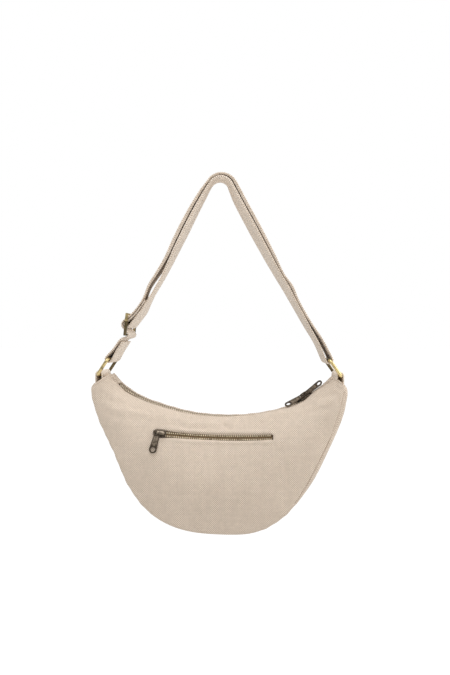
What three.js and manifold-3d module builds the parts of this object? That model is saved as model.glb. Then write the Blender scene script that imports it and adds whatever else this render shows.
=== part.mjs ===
// Belt bag: a crescent of canvas with a zipped top and a zipped front pocket, hanging by its strap.
// Millimetres, +Z up. The bag's front faces -Y. The origin is the underside of the strap at its
// highest point, where a hook or a shoulder carries it.
import * as THREE from "three";
import { mergeVertices } from "three/addons/utils/BufferGeometryUtils.js";
import Module from "manifold-3d";

const wasm = await Module();
wasm.setup();

// Cloth and clearances
const CLOTH = 1.8;
const GAP = 0.4;

// Strap and metal
const STRAP_WIDTH = 40;
const STRAP_THICK = 2.4;
const APEX_RADIUS = 17;
const LEG_ANGLE = THREE.MathUtils.degToRad(28.4);
const TAB_WIDTH = 36;
const WIRE_RADIUS = 2;
const RING_HALF_HEIGHT = 11.5;
const RING_HALF_WIDTH = 23;
const RING_CORNER = 4;
const BAR = 2.6;
const BUCKLE_THICK = 2.2;
const BUCKLE_PITCH = 12.5;
const BUCKLE_HALF_WIDTH = 21.5;
const BUCKLE_CORNER = 2;
const WIRE_CLEARANCE = 0.64;
const BAR_CLEARANCE = 0.3;

// Zip: chain, tapes, slider and pull tab
const CHAIN_HALF = 2.8;
const CHAIN_THICK = 1.8;
const CHAIN_TO_TAPE = 0.35;
const CHAIN_TO_POST = 2.6;
const TAPE_THICK = 0.8;
const TAPE_OUTER = 5.7;
const SLIDER_LENGTH = 13;
const SLIDER_HALF = 5;
const NOSE_HALF = 3.4;
const NOSE_LENGTH = 2.6;
const NOSE_ROUND = 0.4;
const TAIL_HALF = 3.9;
const TAIL_TAPER = 1;
const POST_SIZE = 2.6;
const POST_INSET = 2.1;
const PLATE_THICK = 1.2;
const PLATE_LEVEL = 1.5;
const BAIL_HALF_LENGTH = 4.2;
const BAIL_BAR = 1.3;
const BAIL_HALF_WIDTH = 0.9;
const BAIL_HEIGHT = 6.2;
const BAIL_ROUND = 2;
const PIN_INSET = 1.6;
const PIN_LIFT = 3;
const PULL_ASIDE = 0.6;
const POCKET_PULL_LIFT = 1.6;
const PULL_LENGTH = 26.5;
const PULL_THICK = 1.4;
const PULL_NECK_HALF = 3.4;
const PULL_END_HALF = 4.6;
const PULL_EYE_HALF = 2.3;
const PULL_EYE_LENGTH = 3.5;
const PULL_NECK_LENGTH = 5.5;
const PULL_PIN = 0.7;
const PULL_HOLE_RADIUS = 2.6;

// The bag's stations from its left end to its right end, seen from the front. Each row has a point
// of the zip line, the point of the sewn seam below it, the half depth at both, how far the panel
// crowns between them, how far the gusset bulges, and how much the front edge lifts above the zip.
const STATION_COLUMNS = ["zipX", "zipZ", "seamX", "seamZ", "zipHalf", "seamHalf", "crown", "bulge", "lift"];
const STATION_ROWS = [
  [-139, -240.5, -154.5, -252.5, 12, 22.5, 0, 0.8, 0],
  [-132, -247.5, -157, -261, 9, 23, 1, 2.5, -0.5],
  [-119, -258.5, -147.5, -293, 7, 25, 4, 2.5, -3],
  [-99, -270, -128.5, -332, 7, 27.5, 7, 2, -1.6],
  [-76, -278.2, -108.3, -375, 7, 29.5, 9, 2.5, -1.2],
  [-52, -285.2, -81.5, -406.5, 7, 30, 10, 2, -0.6],
  [-26, -290, -45, -424, 7, 30, 10, 1, -0.2],
  [2, -291.8, 2, -428.8, 7, 30, 10, 0.5, 0],
  [28, -291.3, 44, -424.8, 7, 30, 10, 1.5, 1],
  [52, -288.4, 76.5, -404.5, 7, 30, 10, 4.5, 2],
  [76, -282.8, 102, -370, 7, 29.5, 9, 8, 1.5],
  [98, -274.2, 121.5, -333, 7, 27.5, 7, 8, 0],
  [119, -259.5, 141.5, -290, 7, 25, 4, 6.5, 1.5],
  [132, -249.6, 149.5, -260, 9, 23, 1, 4, 1],
  [138.5, -243.2, 147.5, -252.2, 12, 22.5, 0, 0.8, 0],
];
const STATIONS = STATION_ROWS.map((row) =>
  Object.fromEntries(STATION_COLUMNS.map((column, k) => [column, row[k]])),
);
const LAST = STATIONS.length - 1;

// Where the zips lie: the top zip between two stations, the pocket slot across the front
const ZIP_START = 1.45;
const ZIP_END = 11.78;
const ZIP_SINK = 1.2;
const FLAP_CLEARANCE = 0.1;
const END_INSET = 4.4;
const SLIDER_STATION = 11.33;
const SLOT = { left: -77.7, right: 62.6, z: -314, rise: 2.78, tilt: -0.86, half: 5.4 };
const POCKET_SLIDER_X = -71;
const TAPE_DEPTH = 3;
const TAPE_REACH = 8.2;
const TAPE_OVERRUN = 3;
const CHAIN_END_CLEARANCE = 0.5;
const SLOT_CUT_DEPTH = 6;
const FLAP_FOLD = 0.25;
const CORNER_ROUND = 0.12;

// How the two strap layers lie on each leg: how far the pair sags inwards and how far the outer
// layer stands off the inner one, by distance down the leg
const LEFT_LEG = [
  { along: 15, sag: -0.5, spread: 3 },
  { along: 45, sag: -0.4, spread: 4.8 },
  { along: 80, sag: 0.4, spread: 5.2 },
  { along: 108, sag: 1.2, spread: 4.6 },
  { along: 128, sag: 1.5, spread: 6.2 },
  { along: 146, sag: 0.6, spread: 6.4 },
  { along: 163, sag: 0, spread: 3.1 },
  { along: 175, sag: 0, spread: 3.1 },
];
const RIGHT_LEG = [
  { along: 20, sag: 3.5, spread: 3.7 },
  { along: 60, sag: 3.2, spread: 3.4 },
  { along: 100, sag: 3, spread: 2.4 },
  { along: 127, sag: 2.2, spread: 0.3 },
  { along: 145, sag: 1.6, spread: 2.2 },
  { along: 163, sag: 1.4, spread: 0.4 },
  { along: 195, sag: 1.3, spread: 1.4 },
  { along: 220, sag: 0.6, spread: 3.2 },
];
const APEX_SPREAD = 1;
// The inner layer falls away from the outer one over the top, towards the right
const APEX_SAG = 2.8;
const SEWN_END_ALONG = 163;
const SEWN_END_LENGTH = 8;
// How far each leg turns about the vertical, as sideways shift for depth, and how far the strap's back
// edge is hitched up above its front edge, from the top down
const STRAP_TWIST = [
  { z: 10, left: 0.065, right: 0.05, hitch: 7.3 },
  { z: -20, left: 0.065, right: 0.14, hitch: 2.7 },
  { z: -60, left: 0.065, right: 0.14, hitch: 0 },
  { z: -100, left: 0.1, right: 0.115, hitch: 0 },
  { z: -120, left: 0.14, right: 0.1, hitch: 0 },
  { z: -140, left: 0.14, right: 0.08, hitch: 0 },
  { z: -164, left: 0, right: 0.05, hitch: 0 },
  { z: -205, left: 0, right: 0, hitch: 0 },
];
const TWIST_BLEND = 20;
const STRAP_TAIL = 27;
// The two layers between the buckle and the left ring: how far from the ring's bar, and how far apart
const LEFT_LOOP = { far: 29, farOff: 1.6, near: 14, nearOff: 2.2 };
const FOOT_LIFT = { inner: 3.8, outer: 5 };

// Places in the XZ plane of the bars that the strap and the tabs go round
const BUCKLE_MIDDLE = new THREE.Vector2(-114.5, -178.5);
// How far to the right of the buckle's upper bar each layer of the strap passes
const UPPER_PASS = { outer: 4.3, middle: 8.3, inner: 12.2, drop: 0.5 };
const BUCKLE_TILT = THREE.MathUtils.degToRad(6);
const RING_LEFT = { x: -143.4, z: -230.5, lean: THREE.MathUtils.degToRad(33) };
const RING_RIGHT = { x: 137.7, z: -231.2, lean: THREE.MathUtils.degToRad(-35) };

// Rest pose of the pull tabs, in degrees
const POCKET_PULL_SWING = -8;
const POCKET_PULL_TUCK = 5;
const LEFT_PULL_ROLL = 32;
const LEFT_PULL_YAW = 20;
const LEFT_PULL_RAISE = 8;
const RIGHT_PULL_ROLL = 32;
const RIGHT_PULL_YAW = 10;
const RIGHT_PULL_RAISE = 3;

const MATERIALS = {
  canvas: new THREE.MeshStandardMaterial({ color: 0xd4c5b3, roughness: 0.95, metalness: 0 }),
  tape: new THREE.MeshStandardMaterial({ color: 0x8d7657, roughness: 0.9, metalness: 0 }),
  brass: new THREE.MeshStandardMaterial({ color: 0xc4a862, roughness: 0.35, metalness: 1 }),
  bronze: new THREE.MeshStandardMaterial({ color: 0x5e5349, roughness: 0.42, metalness: 1 }),
};

const bag = new THREE.Group();

function add(name, geometry, material, parent = bag) {
  const mesh = new THREE.Mesh(geometry, material);
  mesh.name = name;
  parent.add(mesh);
  return mesh;
}

// How finely the curved walls and strips are divided
const PANEL_COLUMNS = 40;
const PANEL_ROWS = 12;
const PANEL_ROW_POWER = 1.6;
const GUSSET_SEAM_STEPS = 52;
const GUSSET_ROWS = 6;
const ARC_STEPS = 8;

// Joining and cutting of closed meshes
function toSolid(geometry) {
  const bare = geometry.clone();
  bare.deleteAttribute("normal");
  bare.deleteAttribute("uv");
  const merged = mergeVertices(bare, 1e-4);
  const vertProperties = new Float32Array(merged.attributes.position.array);
  const triVerts = new Uint32Array(merged.index.array);
  return new wasm.Manifold(new wasm.Mesh({ numProp: 3, vertProperties, triVerts }));
}

function toGeometry(solid) {
  const mesh = solid.getMesh();
  const geometry = new THREE.BufferGeometry();
  geometry.setAttribute("position", new THREE.BufferAttribute(new Float32Array(mesh.vertProperties), 3));
  geometry.setIndex(new THREE.BufferAttribute(new Uint32Array(mesh.triVerts), 1));
  geometry.computeVertexNormals();
  return geometry;
}

function indexed(points, triangles) {
  const geometry = new THREE.BufferGeometry();
  geometry.setFromPoints(points);
  geometry.setIndex(triangles);
  geometry.computeVertexNormals();
  return geometry;
}

// A closed bar through rings of corner points, with flat ends, or running round into itself
function bar(rings, closed = false) {
  const sides = rings[0].length;
  const triangles = [];
  const spans = closed ? rings.length : rings.length - 1;
  for (let i = 0; i < spans; i += 1) {
    const here = i * sides;
    const next = ((i + 1) % rings.length) * sides;
    for (let k = 0; k < sides; k += 1) {
      const l = (k + 1) % sides;
      triangles.push(here + k, here + l, next + l, here + k, next + l, next + k);
    }
  }
  if (!closed) {
    const end = (rings.length - 1) * sides;
    for (let k = 1; k < sides - 1; k += 1) {
      triangles.push(0, k + 1, k, end, end + k, end + k + 1);
    }
  }
  return indexed(rings.flat(), triangles);
}

// A cloth wall: a grid of outer points, the same grid one thickness inwards, and the rim between.
// The outer face is the one that grid columns and rows, taken in that order, turn towards.
function clothWall(grid) {
  const columns = grid.length;
  const rows = grid[0].length;
  const outer = grid.flat();
  const inner = [];
  for (let i = 0; i < columns; i += 1) {
    for (let j = 0; j < rows; j += 1) {
      const along = grid[Math.min(i + 1, columns - 1)][j].clone().sub(grid[Math.max(i - 1, 0)][j]);
      const across = grid[i][Math.min(j + 1, rows - 1)].clone().sub(grid[i][Math.max(j - 1, 0)]);
      const normal = along.cross(across).normalize();
      inner.push(grid[i][j].clone().addScaledVector(normal, -CLOTH));
    }
  }
  const back = outer.length;
  const at = (i, j) => i * rows + j;
  const triangles = [];
  for (let i = 0; i < columns - 1; i += 1) {
    for (let j = 0; j < rows - 1; j += 1) {
      const [a, b, c, d] = [at(i, j), at(i + 1, j), at(i + 1, j + 1), at(i, j + 1)];
      triangles.push(a, b, c, a, c, d);
      triangles.push(back + a, back + c, back + b, back + a, back + d, back + c);
    }
  }
  const rim = [];
  for (let i = 0; i < columns - 1; i += 1) {
    rim.push(at(i, 0));
  }
  for (let j = 0; j < rows - 1; j += 1) {
    rim.push(at(columns - 1, j));
  }
  for (let i = columns - 1; i > 0; i -= 1) {
    rim.push(at(i, rows - 1));
  }
  for (let j = rows - 1; j > 0; j -= 1) {
    rim.push(at(0, j));
  }
  for (let k = 0; k < rim.length; k += 1) {
    const p = rim[k];
    const q = rim[(k + 1) % rim.length];
    triangles.push(q, p, back + p, q, back + p, back + q);
  }
  return indexed([...outer, ...inner], triangles);
}

// The value of every column at a place between two stations, on a smooth curve through the rows
function station(place) {
  const i = Math.min(Math.floor(place), LAST - 1);
  const t = place - i;
  const rows = [i - 1, i, i + 1, i + 2].map((k) => STATIONS[THREE.MathUtils.clamp(k, 0, LAST)]);
  const result = {};
  for (const column of Object.keys(STATIONS[0])) {
    const [a, b, c, d] = rows.map((row) => row[column]);
    const before = i === 0 ? c - b : (c - a) / 2;
    const after = i === LAST - 1 ? c - b : (d - b) / 2;
    const cubic = (2 * b - 2 * c + before + after) * t + 3 * (c - b) - 2 * before - after;
    result[column] = (cubic * t + before) * t + b;
  }
  return result;
}

// The back panel crowns less than the front one, and both crown most above their middle
const BACK_CROWN = 0.7;
const CROWN_POWER = 0.8;

// A point of the front panel (side -1) or the back panel (side 1): fall 0 at the zip, 1 at the seam
function panelPoint(place, fall, side) {
  const s = station(place);
  const edgeZ = s.zipZ + (side < 0 ? s.lift : 0);
  const x = THREE.MathUtils.lerp(s.zipX, s.seamX, fall);
  const z = THREE.MathUtils.lerp(edgeZ, s.seamZ, fall);
  const spread = Math.sqrt(1 - (1 - fall) ** 2);
  const crown = (side < 0 ? 1 : BACK_CROWN) * s.crown * Math.sin(Math.PI * fall ** CROWN_POWER);
  const depth = THREE.MathUtils.lerp(s.zipHalf, s.seamHalf, spread) + crown;
  return new THREE.Vector3(x, side * depth, z);
}

function evenly(from, to, steps) {
  return Array.from({ length: steps + 1 }, (_, k) => THREE.MathUtils.lerp(from, to, k / steps));
}

// Rows lie closer together near the zip, where the panel turns over
function panelGrid(side, columns, rows) {
  const falls = evenly(0, 1, rows).map((f) => f ** PANEL_ROW_POWER);
  const order = side < 0 ? evenly(LAST, 0, columns) : evenly(0, LAST, columns);
  return order.map((place) => falls.map((fall) => panelPoint(place, fall, side)));
}

// First guess, small step and number of steps with which a place on the panel is found
const FIRST_FALL = 0.2;
const SMALL_STEP = 1e-3;
const SOLVE_STEPS = 20;

// The place on the front panel at a given x and z, and the frame of a zip lying there: along the
// chain, up the slope and out of the cloth
function frontFrame(x, z) {
  const left = STATIONS[0].zipX;
  const right = STATIONS[LAST].zipX;
  let place = LAST * ((x - left) / (right - left));
  let fall = FIRST_FALL;
  const step = SMALL_STEP;
  for (let k = 0; k < SOLVE_STEPS; k += 1) {
    const p = panelPoint(place, fall, -1);
    const byPlace = panelPoint(place + step, fall, -1).sub(p).divideScalar(step);
    const byFall = panelPoint(place, fall + step, -1).sub(p).divideScalar(step);
    const determinant = byPlace.x * byFall.z - byFall.x * byPlace.z;
    place += ((x - p.x) * byFall.z - byFall.x * (z - p.z)) / determinant;
    fall += (byPlace.x * (z - p.z) - (x - p.x) * byPlace.z) / determinant;
  }
  const origin = panelPoint(place, fall, -1);
  const along = panelPoint(place + step, fall, -1).sub(origin).normalize();
  const down = panelPoint(place, fall + step, -1).sub(origin).normalize();
  const out = down.clone().cross(along).normalize();
  const up = out.clone().cross(along).normalize();
  return { origin, along, up, out };
}

function slotZ(x) {
  const share = x / SLOT.right;
  return SLOT.z + SLOT.tilt * share + SLOT.rise * share ** 2;
}

// Rectangle section of a zip piece, from across0 to across1 and from level0 to level1
function section(frame, across0, across1, level0, level1) {
  const corner = (across, level) =>
    frame.origin.clone().addScaledVector(frame.up, across).addScaledVector(frame.out, level);
  return [
    corner(across0, level0),
    corner(across1, level0),
    corner(across1, level1),
    corner(across0, level1),
  ];
}

function slotFrame(x) {
  const frame = frontFrame(x, slotZ(x));
  const ahead = frontFrame(x + 1, slotZ(x + 1)).origin;
  frame.along = ahead.sub(frame.origin).normalize();
  frame.up = frame.out.clone().cross(frame.along).normalize();
  return frame;
}

// The frame of the top zip between the two panel edges, its along pointing to the right
function topFrame(place) {
  const middle = (p) => panelPoint(p, 0, -1).add(panelPoint(p, 0, 1)).multiplyScalar(0.5);
  const origin = middle(place);
  const along = middle(place + SMALL_STEP).sub(origin).normalize();
  const up = panelPoint(place, 0, 1).sub(panelPoint(place, 0, -1)).normalize();
  const out = along.clone().cross(up).normalize();
  return { origin: origin.addScaledVector(out, -ZIP_SINK), along, up, out };
}

// Panels and gusset
const slotPlaces = evenly(SLOT.left, SLOT.right, 20);
const slotSections = slotPlaces.map((x) =>
  section(slotFrame(x), -SLOT.half, SLOT.half, -SLOT_CUT_DEPTH, SLOT_CUT_DEPTH),
);
const slotCutter = bar(slotSections);
const frontWall = clothWall(panelGrid(-1, PANEL_COLUMNS, PANEL_ROWS));
add("front_panel", toGeometry(toSolid(frontWall).subtract(toSolid(slotCutter))), MATERIALS.canvas);
add("back_panel", clothWall(panelGrid(1, PANEL_COLUMNS, PANEL_ROWS)), MATERIALS.canvas);

// The gusset's edge runs from the zip's left end over the corner, round the bottom and up again
function gussetEdge() {
  const inset = CLOTH + GAP;
  const edge = [];
  const onTop = (place) => {
    const s = station(place);
    edge.push({ x: s.zipX, z: s.zipZ, half: s.zipHalf - inset, bulge: 0 });
  };
  const onEnd = (place, fall) => {
    const p = panelPoint(place, fall, 1);
    const half = p.y - inset - END_INSET * (1 - fall);
    edge.push({ x: p.x, z: p.z, half, bulge: station(place).bulge * fall });
  };
  const endFalls = evenly(CORNER_ROUND, 1 - CORNER_ROUND, 4);
  evenly(ZIP_START - FLAP_CLEARANCE, FLAP_FOLD, 4).forEach(onTop);
  endFalls.forEach((fall) => onEnd(0, fall));
  evenly(CORNER_ROUND, LAST - CORNER_ROUND, GUSSET_SEAM_STEPS).forEach((place) => onEnd(place, 1));
  endFalls.reverse().forEach((fall) => onEnd(LAST, fall));
  evenly(LAST - FLAP_FOLD, ZIP_END + FLAP_CLEARANCE, 6).forEach(onTop);
  return edge;
}

function gussetGrid(across) {
  const edge = gussetEdge();
  return edge.map((here, k) => {
    const before = edge[Math.max(k - 1, 0)];
    const after = edge[Math.min(k + 1, edge.length - 1)];
    const outward = new THREE.Vector2(after.z - before.z, before.x - after.x).normalize();
    return evenly(-1, 1, across).map((share) => {
      const out = here.bulge * (1 - share ** 2);
      return new THREE.Vector3(here.x + outward.x * out, share * here.half, here.z + outward.y * out);
    });
  });
}
add("gusset", clothWall(gussetGrid(GUSSET_ROWS)), MATERIALS.canvas);

// Zips
function zipBar(frames, across0, across1, thick, level) {
  return bar(frames.map((f) => section(f, across0, across1, level - thick / 2, level + thick / 2)));
}

const BAIL_TOP = PLATE_LEVEL + PLATE_THICK + BAIL_HEIGHT;
const PIN_LEVEL = PLATE_LEVEL + PLATE_THICK + PIN_LIFT;

function extrude(shape, depth, curveSegments = 4) {
  return new THREE.ExtrudeGeometry(shape, { depth, bevelEnabled: false, curveSegments });
}

// The slider's own axes: x towards its tail, where the closed chain leaves, y across, z out
function sliderGeometry() {
  const half = SLIDER_LENGTH / 2;
  const plan = new THREE.Shape();
  const noseEnd = -half + NOSE_LENGTH;
  plan.moveTo(-half, -NOSE_HALF);
  plan.quadraticCurveTo(-half + NOSE_ROUND, -SLIDER_HALF, noseEnd, -SLIDER_HALF);
  plan.lineTo(TAIL_TAPER, -SLIDER_HALF);
  plan.lineTo(half, -TAIL_HALF);
  plan.lineTo(half, TAIL_HALF);
  plan.lineTo(TAIL_TAPER, SLIDER_HALF);
  plan.lineTo(noseEnd, SLIDER_HALF);
  plan.quadraticCurveTo(-half + NOSE_ROUND, SLIDER_HALF, -half, NOSE_HALF);
  plan.closePath();
  const plate = extrude(plan, PLATE_THICK);
  const top = plate.clone().translate(0, 0, PLATE_LEVEL);
  const bottom = plate.clone().translate(0, 0, -PLATE_LEVEL - PLATE_THICK);
  const post = new THREE.BoxGeometry(POST_SIZE, POST_SIZE, 2 * PLATE_LEVEL + PLATE_THICK);
  post.translate(-half + POST_INSET, 0, 0);

  const bail = new THREE.Shape();
  const foot = PLATE_LEVEL + PLATE_THICK / 2;
  const shoulder = BAIL_TOP - BAIL_ROUND;
  bail.moveTo(-BAIL_HALF_LENGTH, foot);
  bail.lineTo(BAIL_HALF_LENGTH, foot);
  bail.lineTo(BAIL_HALF_LENGTH, shoulder);
  bail.absarc(BAIL_HALF_LENGTH - BAIL_ROUND, shoulder, BAIL_ROUND, 0, Math.PI / 2, false);
  bail.absarc(-BAIL_HALF_LENGTH + BAIL_ROUND, shoulder, BAIL_ROUND, Math.PI / 2, Math.PI, false);
  bail.closePath();
  const inside = BAIL_HALF_LENGTH - BAIL_BAR;
  const window = new THREE.Path();
  window.moveTo(-inside, PLATE_LEVEL + PLATE_THICK);
  window.lineTo(-inside, BAIL_TOP - BAIL_BAR);
  window.lineTo(inside, BAIL_TOP - BAIL_BAR);
  window.lineTo(inside, PLATE_LEVEL + PLATE_THICK);
  window.closePath();
  bail.holes.push(window);
  const arch = extrude(bail, 2 * BAIL_HALF_WIDTH);
  arch.rotateX(Math.PI / 2).translate(0, BAIL_HALF_WIDTH, 0);

  const pieces = [top, bottom, post, arch].map(toSolid);
  return toGeometry(pieces.reduce((whole, piece) => whole.add(piece)));
}

// The pull tab lies along its own +x, its eye's pin at the origin and its thickness along z
function pullGeometry() {
  const endCentre = PULL_LENGTH - PULL_END_HALF;
  const outline = new THREE.Shape();
  outline.moveTo(-PULL_PIN, -PULL_NECK_HALF);
  outline.lineTo(PULL_NECK_LENGTH, -PULL_NECK_HALF);
  outline.lineTo(endCentre, -PULL_END_HALF);
  outline.absarc(endCentre, 0, PULL_END_HALF, -Math.PI / 2, Math.PI / 2, false);
  outline.lineTo(PULL_NECK_LENGTH, PULL_NECK_HALF);
  outline.lineTo(-PULL_PIN, PULL_NECK_HALF);
  outline.closePath();
  const eye = new THREE.Path();
  eye.moveTo(PULL_PIN, -PULL_EYE_HALF);
  eye.lineTo(PULL_PIN, PULL_EYE_HALF);
  eye.lineTo(PULL_PIN + PULL_EYE_LENGTH, PULL_EYE_HALF);
  eye.lineTo(PULL_PIN + PULL_EYE_LENGTH, -PULL_EYE_HALF);
  eye.closePath();
  const hole = new THREE.Path();
  hole.absarc(endCentre, 0, PULL_HOLE_RADIUS, 0, 2 * Math.PI, true);
  outline.holes.push(eye, hole);
  return extrude(outline, PULL_THICK, 10).translate(0, 0, -PULL_THICK / 2);
}

// A group whose own x, y and z lie along the given directions
function placed(origin, x, y, z, parent = bag) {
  const group = new THREE.Group();
  group.applyMatrix4(new THREE.Matrix4().makeBasis(x, y, z).setPosition(origin));
  parent.add(group);
  return group;
}

// Top zip: the chain is closed from the left end up to the slider
const zipFrames = evenly(ZIP_START, ZIP_END, 30).map(topFrame);
const TAPE_INNER = CHAIN_HALF + CHAIN_TO_TAPE;
add("main_tape_front", zipBar(zipFrames, -TAPE_OUTER, -TAPE_INNER, TAPE_THICK, 0), MATERIALS.tape);
add("main_tape_back", zipBar(zipFrames, TAPE_INNER, TAPE_OUTER, TAPE_THICK, 0), MATERIALS.tape);

const topSliderFrame = topFrame(SLIDER_STATION);
const besideSlider = topFrame(SLIDER_STATION + SMALL_STEP);
const stationPerMm = SMALL_STEP / besideSlider.origin.distanceTo(topSliderFrame.origin);
const chainEnd = SLIDER_STATION + CHAIN_TO_POST * stationPerMm;
const chainFrames = evenly(ZIP_START, chainEnd, 30).map(topFrame);
add("main_chain", zipBar(chainFrames, -CHAIN_HALF, CHAIN_HALF, CHAIN_THICK, 0), MATERIALS.bronze);

const topSlider = placed(
  topSliderFrame.origin,
  topSliderFrame.along.clone().negate(),
  topSliderFrame.up.clone().negate(),
  topSliderFrame.out,
);
add("main_slider", sliderGeometry(), MATERIALS.bronze, topSlider);

// Two pull tabs share the slider's bail, one at each end of its window
const leftPull = new THREE.Group();
leftPull.position.set(PIN_INSET, -PULL_ASIDE, PIN_LEVEL);
leftPull.rotation.set(
  THREE.MathUtils.degToRad(-LEFT_PULL_ROLL),
  THREE.MathUtils.degToRad(-LEFT_PULL_RAISE),
  THREE.MathUtils.degToRad(LEFT_PULL_YAW),
  "ZYX",
);
topSlider.add(leftPull);
add("main_pull_left", pullGeometry(), MATERIALS.bronze, leftPull);

const rightPull = new THREE.Group();
rightPull.position.set(-PIN_INSET, -PULL_ASIDE, PIN_LEVEL);
rightPull.rotation.set(
  THREE.MathUtils.degToRad(RIGHT_PULL_ROLL),
  THREE.MathUtils.degToRad(-RIGHT_PULL_RAISE),
  THREE.MathUtils.degToRad(180 - RIGHT_PULL_YAW),
  "ZYX",
);
topSlider.add(rightPull);
add("main_pull_right", pullGeometry(), MATERIALS.bronze, rightPull);

// Pocket zip: tapes behind the front panel, the chain closed from the slider to the right end
const pocketFrames = evenly(SLOT.left - TAPE_OVERRUN, SLOT.right + TAPE_OVERRUN, 24).map(slotFrame);
const upperTape = zipBar(pocketFrames, TAPE_INNER, TAPE_REACH, TAPE_THICK, -TAPE_DEPTH);
const lowerTape = zipBar(pocketFrames, -TAPE_REACH, -TAPE_INNER, TAPE_THICK, -TAPE_DEPTH);
add("pocket_tape_upper", upperTape, MATERIALS.tape);
add("pocket_tape_lower", lowerTape, MATERIALS.tape);
const pocketChainStart = POCKET_SLIDER_X - CHAIN_TO_POST;
const pocketChainFrames = evenly(pocketChainStart, SLOT.right - CHAIN_END_CLEARANCE, 24).map(slotFrame);
const pocketChain = zipBar(pocketChainFrames, -CHAIN_HALF, CHAIN_HALF, CHAIN_THICK, -TAPE_DEPTH);
add("pocket_chain", pocketChain, MATERIALS.bronze);

const pocketFrame = slotFrame(POCKET_SLIDER_X);
const pocketSlider = placed(
  pocketFrame.origin.clone().addScaledVector(pocketFrame.out, -TAPE_DEPTH),
  pocketFrame.along,
  pocketFrame.up,
  pocketFrame.out,
);
add("pocket_slider", sliderGeometry(), MATERIALS.bronze, pocketSlider);

// The pocket's pull hangs on the bail's left leg, down the slope of the cloth
const pocketPull = new THREE.Group();
const bailLeg = -BAIL_HALF_LENGTH + BAIL_BAR / 2;
pocketPull.position.set(bailLeg, 0, PLATE_LEVEL + PLATE_THICK + POCKET_PULL_LIFT);
pocketPull.rotation.set(
  0,
  THREE.MathUtils.degToRad(POCKET_PULL_TUCK),
  THREE.MathUtils.degToRad(-90 + POCKET_PULL_SWING),
  "ZYX",
);
pocketSlider.add(pocketPull);
const pocketTab = add("pocket_pull", pullGeometry(), MATERIALS.bronze, pocketPull);
pocketTab.position.x = -(PULL_PIN + PULL_EYE_LENGTH / 2);

// Bars that the strap and the tabs go round, as points of the XZ plane
function ringBar(ring, share) {
  const reach = RING_HALF_HEIGHT * share;
  return new THREE.Vector2(ring.x + Math.sin(ring.lean) * reach, ring.z + Math.cos(ring.lean) * reach);
}

function around(centre, radius, fromDegrees, toDegrees, steps) {
  return evenly(fromDegrees, toDegrees, steps).map((degrees) => {
    const angle = THREE.MathUtils.degToRad(degrees);
    return new THREE.Vector2(centre.x + radius * Math.cos(angle), centre.y + radius * Math.sin(angle));
  });
}

// Flat strip of cloth along a route in the XZ plane, as wide as stated along Y
function strip(route, thick, width, finer) {
  const points = route.map((p) => new THREE.Vector3(p.x, p.y, 0));
  const curve = new THREE.CatmullRomCurve3(points, false, "centripetal");
  const steps = (route.length - 1) * finer;
  const left = [];
  const right = [];
  for (let k = 0; k <= steps; k += 1) {
    const p = curve.getPoint(k / steps);
    const tangent = curve.getTangent(k / steps);
    left.push(new THREE.Vector2(p.x - (tangent.y * thick) / 2, p.y + (tangent.x * thick) / 2));
    right.push(new THREE.Vector2(p.x + (tangent.y * thick) / 2, p.y - (tangent.x * thick) / 2));
  }
  const shape = new THREE.Shape([...right, ...left.reverse()]);
  return extrude(shape, width).rotateX(Math.PI / 2).translate(0, width / 2, 0);
}

// The strap's two layers lie either side of a line with two straight legs and a round top
const LAYER = (STRAP_THICK + GAP) / 2;
const APEX_CENTRE_Z = LAYER + STRAP_THICK / 2 - APEX_RADIUS;

function legPoint(side, along, off) {
  const x = (APEX_RADIUS + off) * Math.cos(LEG_ANGLE) + along * Math.sin(LEG_ANGLE);
  const z = APEX_CENTRE_Z + (APEX_RADIUS + off) * Math.sin(LEG_ANGLE) - along * Math.cos(LEG_ANGLE);
  return new THREE.Vector2(side * x, z);
}

function apexArc(off, fromSide) {
  const centre = new THREE.Vector2(0, APEX_CENTRE_Z);
  const half = 90 - THREE.MathUtils.radToDeg(LEG_ANGLE);
  return around(centre, APEX_RADIUS + off, 90 - fromSide * half, 90 + fromSide * half, ARC_STEPS);
}

function saggingApex(off) {
  const centre = new THREE.Vector2(0, APEX_CENTRE_Z);
  return apexArc(off, -1).map((point, k) => {
    const inwards = centre.clone().sub(point).normalize();
    return point.clone().addScaledVector(inwards, APEX_SAG * (k / ARC_STEPS) ** 2);
  });
}

function innerLeg(side, leg) {
  return leg.map((row) => legPoint(side, row.along, -LAYER - row.sag));
}

function outerLeg(side, leg) {
  return leg.map((row) => legPoint(side, row.along, LAYER + row.spread - row.sag));
}

const wireWrap = WIRE_RADIUS + WIRE_CLEARANCE + STRAP_THICK / 2;
const barWrap = Math.hypot(BAR, BUCKLE_THICK) / 2 + BAR_CLEARANCE + STRAP_THICK / 2;
const outerWrap = barWrap + STRAP_THICK + GAP;
const buckleUp = new THREE.Vector2(Math.sin(BUCKLE_TILT), Math.cos(BUCKLE_TILT));
buckleUp.multiplyScalar(BUCKLE_PITCH);
const buckleUpper = BUCKLE_MIDDLE.clone().add(buckleUp);
const buckleLower = BUCKLE_MIDDLE.clone().sub(buckleUp);
const upperBarLeft = ringBar(RING_LEFT, 1);
const upperBarRight = ringBar(RING_RIGHT, 1);

// A point beside the stretch between the buckle and the left ring
function nearLeftRing(distance, off) {
  const heading = upperBarLeft.clone().sub(buckleLower).normalize();
  const aside = new THREE.Vector2(heading.y, -heading.x);
  return upperBarLeft.clone().addScaledVector(heading, -distance).addScaledVector(aside, off);
}
const ringHeading = upperBarLeft.clone().sub(buckleLower);
const ringSide = THREE.MathUtils.radToDeg(Math.atan2(-ringHeading.x, ringHeading.y));
const legDegrees = THREE.MathUtils.radToDeg(LEG_ANGLE);
const MIDDLE_ENTRY = 133;
const MIDDLE_EXIT = 326;
const SLOT_CROSSING = 221;
const LOWER_ENTRY = 41;
const LOWER_EXIT = -62;

function besideUpper(right) {
  return new THREE.Vector2(buckleUpper.x + right, buckleUpper.y - UPPER_PASS.drop);
}

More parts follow.
